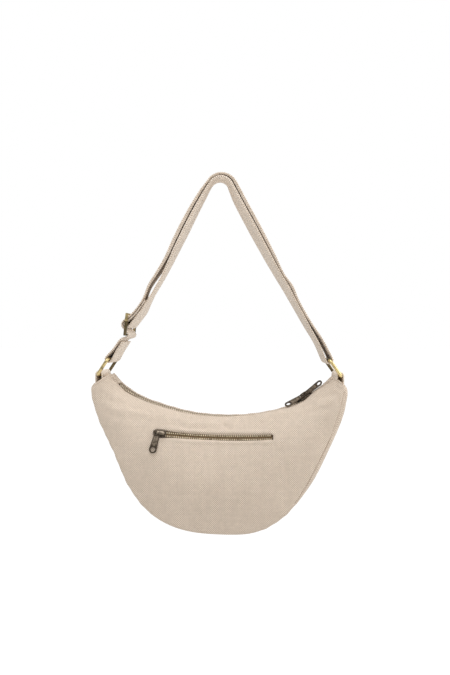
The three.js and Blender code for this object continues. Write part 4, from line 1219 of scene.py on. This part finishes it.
def metal_piece(name, parts, material):
    points = []
    faces = []
    marks = []
    start = 0
    for (part_points, part_faces, part_marks), matrix in parts:
        turned = part_points @ np.array(matrix)[:3, :3].T + np.array(matrix)[:3, 3]
        points.append(turned)
        faces += [tuple(start + k for k in face) for face in part_faces]
        marks += part_marks
        start += len(part_points)
    piece = marked(add_mesh(name, np.concatenate(points), faces, material), marks)
    piece.data.set_sharp_from_angle(angle=math.radians(SHARP_ANGLE))
    return piece


def frame_matrix(origin, x, y, z):
    matrix = Matrix.Identity(4)
    for k, column in enumerate((x, y, z, origin)):
        for r in range(3):
            matrix[r][k] = float(column[r])
    return matrix


def slider_parts():
    half = SLIDER_LENGTH / 2
    nose = SLIDER_HALF - 1.6
    tail = SLIDER_HALF - 1.1
    side_plan = [
        (-half, nose), (-half + 0.2, nose + 0.8), (-half + 0.9, SLIDER_HALF - 0.3),
        (-half + 2.6, SLIDER_HALF), (1, SLIDER_HALF), (half - 0.4, tail + 0.1), (half, tail - 0.4),
    ]
    plan = [(x, -y) for x, y in side_plan] + side_plan[::-1]
    crown = [(0.72 * x, 0.66 * y) for x, y in plan]
    plate = stamped([plan], PLATE_THICK, 0.3)
    rail = stamped([rectangle(-half + 2.6, -0.45, half - 1.2, 0.45)], 0.9, 0.12)
    post = stamped([rectangle(-1.2, -1.2, 1.2, 1.2)], 2 * PLATE_LEVEL + 0.6, 0.1)
    foot = PLATE_LEVEL + PLATE_THICK / 2
    parts = [
        (plate, Matrix.Translation((0, 0, foot))),
        (plate, Matrix.Translation((0, 0, -foot))),
        (stamped([crown], 0.7, 0.25), Matrix.Translation((0, 0, PLATE_TOP + 0.1))),
        (post, Matrix.Translation((-half + 2.1, 0, 0))),
    ]
    rail_aside = SLIDER_HALF - 0.75
    rail_level = PLATE_LEVEL - 0.4
    for side in (-1, 1):
        for level in (-1, 1):
            parts.append((rail, Matrix.Translation((0, side * rail_aside, level * rail_level))))
    top = PLATE_TOP + BAIL_HEIGHT
    arch = [(-BAIL_HALF_LENGTH, foot), (BAIL_HALF_LENGTH, foot)]
    arch += arc((BAIL_HALF_LENGTH - BAIL_ROUND, top - BAIL_ROUND), BAIL_ROUND, 0, 90, 6)
    arch += arc((-BAIL_HALF_LENGTH + BAIL_ROUND, top - BAIL_ROUND), BAIL_ROUND, 90, 180, 6)
    inside = BAIL_HALF_LENGTH - BAIL_BAR
    inner_round = BAIL_ROUND - 0.9
    window = [(-inside, foot + 0.5), (inside, foot + 0.5)]
    window += arc((inside - inner_round, top - BAIL_BAR - inner_round), inner_round, 0, 90, 4)
    window += arc((-inside + inner_round, top - BAIL_BAR - inner_round), inner_round, 90, 180, 4)
    upright = Matrix.Rotation(math.radians(90), 4, "X")
    parts.append((stamped([arch, window], 2 * BAIL_HALF_WIDTH, 0.3), upright))
    return parts


def tapered(start, end, start_half, end_half):
    return [(start, -start_half), (end, -end_half), (end, end_half), (start, start_half)]


def pull_parts():
    end = PULL_LENGTH - PULL_END_HALF
    neck = PULL_EYE_LENGTH + 2
    outline = [(-PULL_PIN, -PULL_NECK_HALF), (neck, -PULL_NECK_HALF)]
    outline += arc((end, 0), PULL_END_HALF, -90, 90, 20)
    outline += [(neck, PULL_NECK_HALF), (-PULL_PIN, PULL_NECK_HALF)]
    eye = rectangle(PULL_PIN, -PULL_EYE_HALF, PULL_PIN + PULL_EYE_LENGTH, PULL_EYE_HALF)
    hole = arc((end, 0), PULL_HOLE_RADIUS, 0, 360, 28)[:-1]
    rim_part = stamped([outline, eye, tapered(*PULL_FIELD), hole], PULL_THICK, 0.28)
    web_part = stamped([tapered(*PULL_WEB)], PULL_WEB_THICK, 0.1, PULL_WEB_RUBBED, PULL_WEB_RUBBED)
    return [(rim_part, Matrix.Identity(4)), (web_part, Matrix.Identity(4))]


SLIDER_PARTS = slider_parts()
PULL_PARTS = pull_parts()


def placed_parts(parts, matrix):
    return [(part, matrix @ own) for part, own in parts]


pocket_origin, pocket_along, pocket_up, pocket_out = slot_frame(POCKET_SLIDER_X)
pocket_matrix = frame_matrix(pocket_origin - TAPE_DEPTH * pocket_out, pocket_along, pocket_up, pocket_out)
cap_reach = BAIL_HALF_LENGTH - CAP_HALF_WIDTH + 0.6
pocket_cap = arc((cap_reach, 0), CAP_HALF_WIDTH, -90, 90, 8)
pocket_cap += arc((-cap_reach, 0), CAP_HALF_WIDTH, 90, 270, 8)
cap_level = PLATE_TOP + BAIL_HEIGHT - 0.5 * CAP_THICK
pocket_parts = SLIDER_PARTS + [
    (stamped([pocket_cap], CAP_THICK, 0.6, 1.0, 0.6), Matrix.Translation((0.5, CAP_RAISE, cap_level))),
]
pocket_slider = metal_piece("pocket_slider_body", placed_parts(pocket_parts, pocket_matrix), bronze_finish)
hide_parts("pocket_slider")
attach(pocket_slider, "bag")


def turn(x, y, z):
    return (
        Matrix.Rotation(math.radians(z), 4, "Z")
        @ Matrix.Rotation(math.radians(y), 4, "Y")
        @ Matrix.Rotation(math.radians(x), 4, "X")
    )


pocket_pin = (-BAIL_HALF_LENGTH + BAIL_BAR / 2, 0, PLATE_TOP + POCKET_PULL_LEVEL)
pocket_pull_matrix = (
    pocket_matrix
    @ Matrix.Translation(pocket_pin)
    @ turn(0, POCKET_PULL_TUCK, -90 + POCKET_PULL_SWING)
    @ Matrix.Translation((-(PULL_PIN + PULL_EYE_LENGTH / 2), 0, 0))
)
pocket_pull = metal_piece("pocket_pull_tab", placed_parts(PULL_PARTS, pocket_pull_matrix), bronze_finish)
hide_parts("pocket_pull")
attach(pocket_pull, "pocket_tab")


# Top zip. The same kind of zip between the turned edges of the two panels, closed from the left end
# up to its slider near the right end. Two pulls share that slider's bail, one lying each way.
ZIP_SINK = 1.2
TOP_TAPE_REACH = 5.7
SLIDER_STATION = 11.33
PIN_LEVEL = PLATE_TOP + 3.0
PULL_ASIDE = 0.6
TOP_PULLS = {
    "left": {"pin": 1.6, "roll": -32.0, "raise": 8.0, "yaw": 20.0},
    "right": {"pin": -1.6, "roll": 32.0, "raise": 3.0, "yaw": 170.0},
}
TOP_TEETH_LIT = (0.46, 0.37, 0.26, 1)
TOP_TEETH_LIT_PALE = (0.90, 0.80, 0.64, 1)


def top_frame(place):
    step = 1e-3
    edges = [panel_point(place, 0.0, side) for side in (-1, 1)]
    ahead = [panel_point(place + step, 0.0, side) for side in (-1, 1)]
    origin = (edges[0] + edges[1]) / 2
    along = unit((ahead[0] + ahead[1]) / 2 - origin)
    up = unit(edges[1] - edges[0])
    out = unit(np.cross(along, up))
    return origin - ZIP_SINK * out, along, up, out


zip_frames = [top_frame(place) for place in np.linspace(ZIP_START, ZIP_END, 90)]
for tape_name, side in (("front", -1), ("back", 1)):
    tape = tape_piece("top_" + tape_name + "_cotton", zip_frames, side, TOP_TAPE_REACH, 0.0)
    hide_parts("main_tape_" + tape_name)
    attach(tape, "bag")

slider_origin, slider_along, slider_up, slider_out = top_frame(SLIDER_STATION)
mm_per_station = np.linalg.norm(top_frame(SLIDER_STATION + 1e-3)[0] - slider_origin) / 1e-3
chain_end = SLIDER_STATION + CHAIN_TO_POST / mm_per_station
top_chain_frames = [top_frame(place) for place in np.linspace(ZIP_START, chain_end, 90)]
# The top zip's teeth take a paler copy of the teeth finish, which is painted light
painted_lit_teeth = metal_finish(
    "painted_lit_teeth", TOP_TEETH_LIT, TEETH_DARK, TOP_TEETH_LIT_PALE, rough=0.45, cloud_scale=500.0, patina=0.3,
)
top_teeth = rows_of("top_teeth", teeth_rows(top_chain_frames, 0.0), tooth, TOOTH_PITCH, painted_lit_teeth)
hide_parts("main_chain")
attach(top_teeth, "bag")

top_matrix = frame_matrix(slider_origin, -slider_along, -slider_up, slider_out)
top_slider = metal_piece("top_slider_body", placed_parts(SLIDER_PARTS, top_matrix), bronze_finish)
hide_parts("main_slider")
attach(top_slider, "bag")

for pull_side, pose in TOP_PULLS.items():
    pin = Matrix.Translation((pose["pin"], -PULL_ASIDE, PIN_LEVEL))
    pull_matrix = top_matrix @ pin @ turn(pose["roll"], -pose["raise"], pose["yaw"])
    pull = metal_piece("top_pull_" + pull_side, placed_parts(PULL_PARTS, pull_matrix), bronze_finish)
    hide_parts("main_pull_" + pull_side)
    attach(pull, pull_side + "_tab")


# Rings and ring tabs. A rectangular ring of round wire in antique brass at each end, held by a short
# folded tab of canvas whose two feet are sewn into the gusset at the bag's corner.
WIRE_RADIUS = 2.0
RING_HALF_HEIGHT = 11.5
RING_HALF_WIDTH = 23.0
RING_CORNER = 4.0
RINGS = {
    "left": {"x": -143.4, "z": -230.5, "lean": 33.0, "end": 0.0},
    "right": {"x": 137.7, "z": -231.2, "lean": -35.0, "end": float(LAST)},
}
STRAP_THICK = 2.4
HEM_WIDTH = 2.6
TAB_WIDTH = 36.0
FOOT_LIFT = {"inner": 3.8, "outer": 5.0}
FOOT_SEWN_IN = 2.0
WIRE_WRAP = WIRE_RADIUS + 1.6 * GAP + STRAP_THICK / 2
BRASS_FACE = (0.20, 0.155, 0.085, 1)
BRASS_DARK = (0.07, 0.055, 0.032, 1)
BRASS_BRIGHT = (0.86, 0.69, 0.34, 1)
RIBBON_STEP = 1.3
RIBBON_ACROSS = 23
STITCH_FROM_EDGE = 3.6
STITCH_CHANNEL = 0.34
CHANNEL_WIDTH = 0.9
WIRE_SIDES = 20
STRAP_TAN = (0.66, 0.545, 0.43, 1)
STRAP_CREAM = (0.95, 0.84, 0.72, 1)

brass_finish = metal_finish(
    "antique_brass", BRASS_FACE, BRASS_DARK, BRASS_BRIGHT, rough=0.30, cloud_scale=130.0, patina=0.55,
)


def rounded_rectangle(half_x, half_y, corner, first_angle, steps):
    outline = []
    for start in range(first_angle, first_angle + 360, 90):
        middle = math.radians(start + 45)
        centre_x = math.copysign(half_x - corner, math.cos(middle))
        centre_y = math.copysign(half_y - corner, math.sin(middle))
        outline += arc((centre_x, centre_y), corner, start, start + 90, steps)
    return outline


def wire_ring(name, ring, material):
    line = np.array(rounded_rectangle(RING_HALF_WIDTH, RING_HALF_HEIGHT, RING_CORNER, 0, 8))
    ahead = np.roll(line, -1, 0) - np.roll(line, 1, 0)
    ahead /= np.linalg.norm(ahead, axis=1, keepdims=True)
    angles = 2 * np.pi * np.arange(WIRE_SIDES) / WIRE_SIDES
    out = np.stack([0 * ahead[:, 0], ahead[:, 1], -ahead[:, 0]], -1)
    base = np.stack([0 * line[:, 0], line[:, 0], line[:, 1]], -1)
    rings = base[:, None] + WIRE_RADIUS * np.cos(angles)[None, :, None] * out[:, None]
    rings = rings + WIRE_RADIUS * np.sin(angles)[None, :, None] * np.array([-1.0, 0, 0])
    faces = ring_faces(len(line), WIRE_SIDES, joined=True)
    lean = Matrix.Rotation(math.radians(ring["lean"]), 3, "Y")
    points = rings.reshape(-1, 3) @ np.array(lean).T + np.array([ring["x"], 0, ring["z"]])
    # The near bars, at negative y, are marked bright as a painted highlight, and the far bars dark as
    # painted shade
    marks = [float(np.clip(0.5 - points[face[0], 1] / RING_HALF_WIDTH, 0, 1)) for face in faces]
    return marked(add_mesh(name, points, faces, material), marks)


def ring_bar(ring, share):
    lean = math.radians(ring["lean"])
    reach = RING_HALF_HEIGHT * share
    return np.array([ring["x"] + math.sin(lean) * reach, ring["z"] + math.cos(lean) * reach])


# A smooth line through route points, as cloth bends
def smooth_route(route):
    route = np.asarray(route, float)
    padded = np.concatenate([[2 * route[0] - route[1]], route, [2 * route[-1] - route[-2]]])
    gaps = np.maximum(np.linalg.norm(np.diff(padded, axis=0), axis=1) ** 0.5, 1e-4)
    t = np.linspace(0, 1, 12, endpoint=False)[:, None]
    line = []
    for i in range(len(route) - 1):
        a, b, c, d = padded[i:i + 4]
        ga, gb, gc = gaps[i:i + 3]
        before = gb * ((b - a) / ga - (c - a) / (ga + gb) + (c - b) / gb)
        after = gb * ((c - b) / gb - (d - b) / (gb + gc) + (d - c) / gc)
        squared = 3 * (c - b) - 2 * before - after
        cubed = 2 * b - 2 * c + before + after
        line.append(b + before * t + squared * t ** 2 + cubed * t ** 3)
    line.append(route[-1:])
    return even_steps(np.concatenate(line), RIBBON_STEP)


def ribbon_normals(line):
    heading = headings(line)
    return np.stack([-heading[:, 1], 0 * heading[:, 0], heading[:, 0]], -1)


def ribbon_piece(name, line, run, width, material, hem, twist=None):
    half = width / 2
    across = -half * np.cos(np.linspace(0, np.pi, RIBBON_ACROSS))
    swell = np.sqrt(np.clip(1 - np.abs(across / half) ** 16, 0, 1))
    from_stitches = np.abs(across) - half + STITCH_FROM_EDGE
    channel = STITCH_CHANNEL * np.exp(-(from_stitches / CHANNEL_WIDTH) ** 2)
    hemmed = np.exp(-((np.abs(across) - half + HEM_WIDTH) / HEM_WIDTH) ** 2)
    far_side = np.repeat((swell * (0.5 * STRAP_THICK - channel))[None], len(run), 0)
    near_side = far_side + hem[:, None] * swell * hemmed
    loop_across = np.concatenate([across, across[-2:0:-1]])
    loop_rise = np.concatenate([near_side, -far_side[:, -2:0:-1]], 1)
    normals = ribbon_normals(line)
    base = np.stack([line[:, 0], 0 * run, line[:, 1]], -1)
    rings = base[:, None] + normals[:, None] * loop_rise[..., None]
    rings[..., 1] += loop_across
    if twist is not None:
        rings = twist(rings)
    return closed_bar(name, rings, material, strip_uv(run, loop_across))


strap_canvas = cloth_finish(
    "strap_canvas", thread=1.0, contrast=0.4, slubs=0.1,
    dark=STRAP_TAN, pale=STRAP_CREAM, bump=0.2, sheen=0.2,
)


def tab_route(ring):
    bar_at = ring_bar(ring, -1)
    inner = panel_point(ring["end"], 0.0, 1)
    corner = panel_point(ring["end"], 1.0, 1)
    side = math.copysign(1, ring["x"])

    def foot(x, lift):
        share = (x - inner[0]) / (corner[0] - inner[0])
        return (x, inner[2] + (corner[2] - inner[2]) * share + lift)

    loop = arc(bar_at, WIRE_WRAP, 0, 180, 8) if side < 0 else arc(bar_at, WIRE_WRAP, 180, 0, 8)
    inner_x = bar_at[0] - side * WIRE_WRAP
    outer_x = bar_at[0] + side * WIRE_WRAP
    return [
        foot(inner_x - side * 0.6, -FOOT_SEWN_IN), foot(inner_x, FOOT_LIFT["inner"]),
        *loop, foot(outer_x, FOOT_LIFT["outer"]), foot(outer_x - side * 0.4, -FOOT_SEWN_IN),
    ]


for ring_side, ring in RINGS.items():
    wire = wire_ring("brass_ring_" + ring_side, ring, brass_finish)
    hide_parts("ring_" + ring_side)
    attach(wire, "bag")
    tab_line, tab_run = smooth_route(tab_route(ring))
    tab_hem = 0 * tab_run
    tab = ribbon_piece("canvas_tab_" + ring_side, tab_line, tab_run, TAB_WIDTH, strap_canvas, tab_hem)
    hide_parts("ring_tab_" + ring_side)
    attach(tab, "bag")


# Strap. One long strip of canvas, folded double in its length and sewn along both edges. It starts at
# the slide buckle, goes up over the top and down to the right ring, comes back over itself, passes
# through the buckle and ends sewn round the left ring.
STRAP_WIDTH = 40.0
HEM_GAP = -0.1
HEM_FADE = {"left": ((95, 125, 160), (1.0, 0.4, 0.0)), "right": ((185, 212), (1.0, 0.0))}
WHIP_LENGTH = 2.3
WHIP_RADIUS = 0.42
WHIP_SPACING = 2.5
WHIP_FROM_EDGE = 0.1
WHIP_DARK = (0.36, 0.26, 0.17, 1)
WHIP_PALE = (0.64, 0.51, 0.38, 1)
APEX_RADIUS = 17.0
LEG_ANGLE = 28.4
BAR = 2.6
BUCKLE_THICK = 2.2
BUCKLE_PITCH = 12.5
BUCKLE_MIDDLE = np.array([-114.5, -178.5])
BUCKLE_TILT = math.radians(6)
# Points of each leg of the strap: the way along it, its sag, and how far the two layers stand apart
LEFT_LEG = [
    (15, -0.5, 3), (45, -0.4, 4.8), (80, 0.4, 5.2), (108, 1.2, 4.6),
    (128, 1.5, 6.2), (146, 0.6, 6.4), (163, 0, 3.1), (175, 0, 3.1),
]
RIGHT_LEG = [
    (20, 3.5, 3.7), (60, 3.2, 3.4), (100, 3.0, 2.4), (127, 2.2, 0.3),
    (145, 1.6, 2.2), (163, 1.4, 0.4), (195, 1.3, 1.4), (220, 0.6, 3.2),
]
APEX_SPREAD = 1.0
APEX_SAG = 2.8
SEWN_END_ALONG = 163.0
STRAP_TAIL = 27.0
UPPER_PASS = {"outer": 4.3, "middle": 8.3, "inner": 12.2}
# Twist of the strap at a height z: that of its left leg, that of its right leg, and how far it hitches up
STRAP_TWIST = np.array([
    (10, 0.065, 0.05, 7.3), (-20, 0.065, 0.14, 2.7), (-60, 0.065, 0.14, 0), (-100, 0.1, 0.115, 0),
    (-120, 0.14, 0.1, 0), (-140, 0.14, 0.08, 0), (-164, 0, 0.05, 0), (-205, 0, 0, 0),
])
MIDDLE_ENTRY = 133.0
MIDDLE_EXIT = 326.0
SLOT_CROSSING = 221.0
LOWER_ENTRY = 41.0
LOWER_EXIT = -62.0
LAYER = (STRAP_THICK + GAP) / 2
APEX_CENTRE = np.array([0.0, LAYER + STRAP_THICK / 2 - APEX_RADIUS])
BAR_WRAP = math.hypot(BAR, BUCKLE_THICK) / 2 + 0.3 + STRAP_THICK / 2
OUTER_WRAP = BAR_WRAP + STRAP_THICK + GAP
leg_sine = math.sin(math.radians(LEG_ANGLE))
leg_cosine = math.cos(math.radians(LEG_ANGLE))
buckle_up = BUCKLE_PITCH * np.array([math.sin(BUCKLE_TILT), math.cos(BUCKLE_TILT)])
buckle_upper = BUCKLE_MIDDLE + buckle_up
buckle_lower = BUCKLE_MIDDLE - buckle_up
upper_bar_left = ring_bar(RINGS["left"], 1)
upper_bar_right = ring_bar(RINGS["right"], 1)
ring_heading = unit(upper_bar_left - buckle_lower)
ring_side_angle = math.degrees(math.atan2(-ring_heading[0], ring_heading[1]))


def leg_point(side, along, off):
    x = (APEX_RADIUS + off) * leg_cosine + along * leg_sine
    z = APEX_CENTRE[1] + (APEX_RADIUS + off) * leg_sine - along * leg_cosine
    return (side * x, z)


def inner_leg(side, leg):
    return [leg_point(side, along, -LAYER - sag) for along, sag, spread in leg]


def outer_leg(side, leg):
    return [leg_point(side, along, LAYER + spread - sag) for along, sag, spread in leg]


def apex_arc(off, from_side):
    half = 90 - LEG_ANGLE
    return arc(APEX_CENTRE, APEX_RADIUS + off, 90 - from_side * half, 90 + from_side * half, 8)


def sagging_apex(off):
    line = []
    for k, point in enumerate(np.array(apex_arc(off, -1))):
        line.append(tuple(point - APEX_SAG * (k / 8) ** 2 * unit(point - APEX_CENTRE)))
    return line


def beside_upper(right):
    return (buckle_upper[0] + right, buckle_upper[1] - 0.5)


def near_left_ring(distance, off):
    aside = np.array([ring_heading[1], -ring_heading[0]])
    return tuple(upper_bar_left - distance * ring_heading + off * aside)


strap_route = [
    leg_point(-1, SEWN_END_ALONG, LAYER),
    leg_point(-1, SEWN_END_ALONG + 8, LAYER),
    beside_upper(UPPER_PASS["middle"]),
    *arc(BUCKLE_MIDDLE, BAR_WRAP, MIDDLE_ENTRY, MIDDLE_EXIT, 8),
    beside_upper(UPPER_PASS["inner"]),
    *inner_leg(-1, LEFT_LEG)[::-1],
    *sagging_apex(-LAYER),
    *inner_leg(1, RIGHT_LEG),
    *arc(upper_bar_right, WIRE_WRAP, 180 + LEG_ANGLE, 360 + LEG_ANGLE, 8),
    *outer_leg(1, RIGHT_LEG)[::-1],
    *apex_arc(LAYER + APEX_SPREAD, 1),
    *outer_leg(-1, LEFT_LEG),
    beside_upper(UPPER_PASS["outer"]),
    *arc(BUCKLE_MIDDLE, OUTER_WRAP, MIDDLE_ENTRY, SLOT_CROSSING, 5),
    *arc(buckle_lower, BAR_WRAP, LOWER_ENTRY, LOWER_EXIT, 5),
    near_left_ring(29, 1.6),
    near_left_ring(14, 2.2),
    *arc(upper_bar_left, WIRE_WRAP, ring_side_angle, ring_side_angle + 180, 8),
    near_left_ring(14, -2.2),
    near_left_ring(STRAP_TAIL, -1.6),
]


def twist_strap(points):
    z, left_twist, right_twist, hitches = STRAP_TWIST.T
    down = -points[..., 2]
    left = np.interp(down, -z, left_twist)
    right = np.interp(down, -z, right_twist)
    amount = left + (right - left) * smooth_step(-20, 20, points[..., 0])
    moved = points.copy()
    moved[..., 0] -= amount * points[..., 1]
    moved[..., 2] += np.interp(down, -z, hitches) * (points[..., 1] / STRAP_WIDTH + 0.5)
    return moved


strap_line, strap_run = smooth_route(strap_route)
# The hems are rolled towards each other and leave only a thin line of shade between the two layers
strap_along = (APEX_CENTRE[1] + APEX_RADIUS * leg_sine - strap_line[:, 1]) / leg_cosine
layer_gaps = []
for leg, fade, top_sag in ((LEFT_LEG, HEM_FADE["left"], 0.0), (RIGHT_LEG, HEM_FADE["right"], APEX_SAG)):
    stops = [-10, 0] + [along for along, sag, spread in leg]
    gaps = [APEX_SPREAD + APEX_SAG / 4, APEX_SPREAD + top_sag] + [spread for along, sag, spread in leg]
    apart = np.maximum(np.interp(strap_along, stops, gaps) - HEM_GAP, 0)
    layer_gaps.append(apart * np.interp(strap_along, *fade))
strap_hem = 0.5 * np.where(strap_line[:, 0] < 0, *layer_gaps)
strap = ribbon_piece(
    "canvas_strap", strap_line, strap_run, STRAP_WIDTH, strap_canvas, strap_hem, twist_strap,
)
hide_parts("strap")
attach(strap, "bag")

# Whip stitches go over both edges, side by side, and close the fold
whip_points, whip_faces = stitch_shape(WHIP_LENGTH, WHIP_RADIUS)
whip_points = [(-y, x, z) for x, y, z in whip_points]
whip_thread = thread_finish("whip_thread", WHIP_DARK, WHIP_PALE)
whip_stitch = add_mesh("whip_stitch", whip_points, whip_faces, whip_thread)
strap_base = np.stack([strap_line[:, 0], 0 * strap_run, strap_line[:, 1]], -1)
strap_base += 0.3 * strap_hem[:, None] * ribbon_normals(strap_line)
strap_rows = []
for edge_side in (-1, 1):
    row = strap_base.copy()
    row[:, 1] = edge_side * (STRAP_WIDTH / 2 - WHIP_FROM_EDGE)
    strap_rows.append((twist_strap(row), np.array([(0.0, edge_side, 0.0)] * len(row))))
strap_stitches = rows_of("strap_stitches", strap_rows, whip_stitch, WHIP_SPACING, whip_thread)
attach(strap_stitches, "bag")


# Slide buckle. A flat frame stamped from brass with a middle bar, which the strap threads so that its
# length can be changed. Its edges are rolled, and its plating has worn to the same antique finish.
BUCKLE_HALF_WIDTH = 21.5
BUCKLE_CORNER = 2.0
SIDE_BAR_THICK = 3.6
SIDE_BAR_INSET = 0.1
SIDE_BAR_PROUD = 0.3
BRIGHT_FROM = 0.3


def buckle_parts():
    half_height = BUCKLE_PITCH + BAR / 2
    half_width = BUCKLE_HALF_WIDTH + BAR
    loops = [rounded_rectangle(half_width, half_height, BUCKLE_CORNER, -90, 6)]
    for side in (-1, 1):
        near = side * BAR / 2
        far = side * (BUCKLE_PITCH - BAR / 2)
        loops.append(rectangle(-BUCKLE_HALF_WIDTH, near, BUCKLE_HALF_WIDTH, far))
    parts = [(stamped(loops, BUCKLE_THICK, 0.55, 1.0, 0.6), Matrix.Identity(4))]
    bright_from = BRIGHT_FROM * half_height
    # Each side bar's metal is brighter above this height and darker below it
    for side in (-1, 1):
        near = side * (BUCKLE_HALF_WIDTH + SIDE_BAR_INSET)
        far = side * (half_width + SIDE_BAR_PROUD)
        upper = rectangle(near, bright_from, far, half_height)
        lower = rectangle(near, -half_height, far, bright_from)
        parts.append((stamped([upper[::side]], SIDE_BAR_THICK, 0.9, 0.9, 0.8), Matrix.Identity(4)))
        parts.append((stamped([lower[::side]], SIDE_BAR_THICK, 0.9, 0.1, 0.0), Matrix.Identity(4)))
    return parts


tilt_sine = math.sin(BUCKLE_TILT)
tilt_cosine = math.cos(BUCKLE_TILT)
buckle_matrix = frame_matrix(
    (BUCKLE_MIDDLE[0], 0, BUCKLE_MIDDLE[1]), (0, -1, 0),
    (tilt_sine, 0, tilt_cosine), (-tilt_cosine, 0, tilt_sine),
)
buckle = metal_piece("brass_buckle", placed_parts(buckle_parts(), buckle_matrix), brass_finish)
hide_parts("slide_buckle")
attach(buckle, "bag")

# The single stitches and the single tooth were only patterns for the rows
for pattern_piece in (stitch, tooth, whip_stitch):
    bpy.data.objects.remove(pattern_piece)
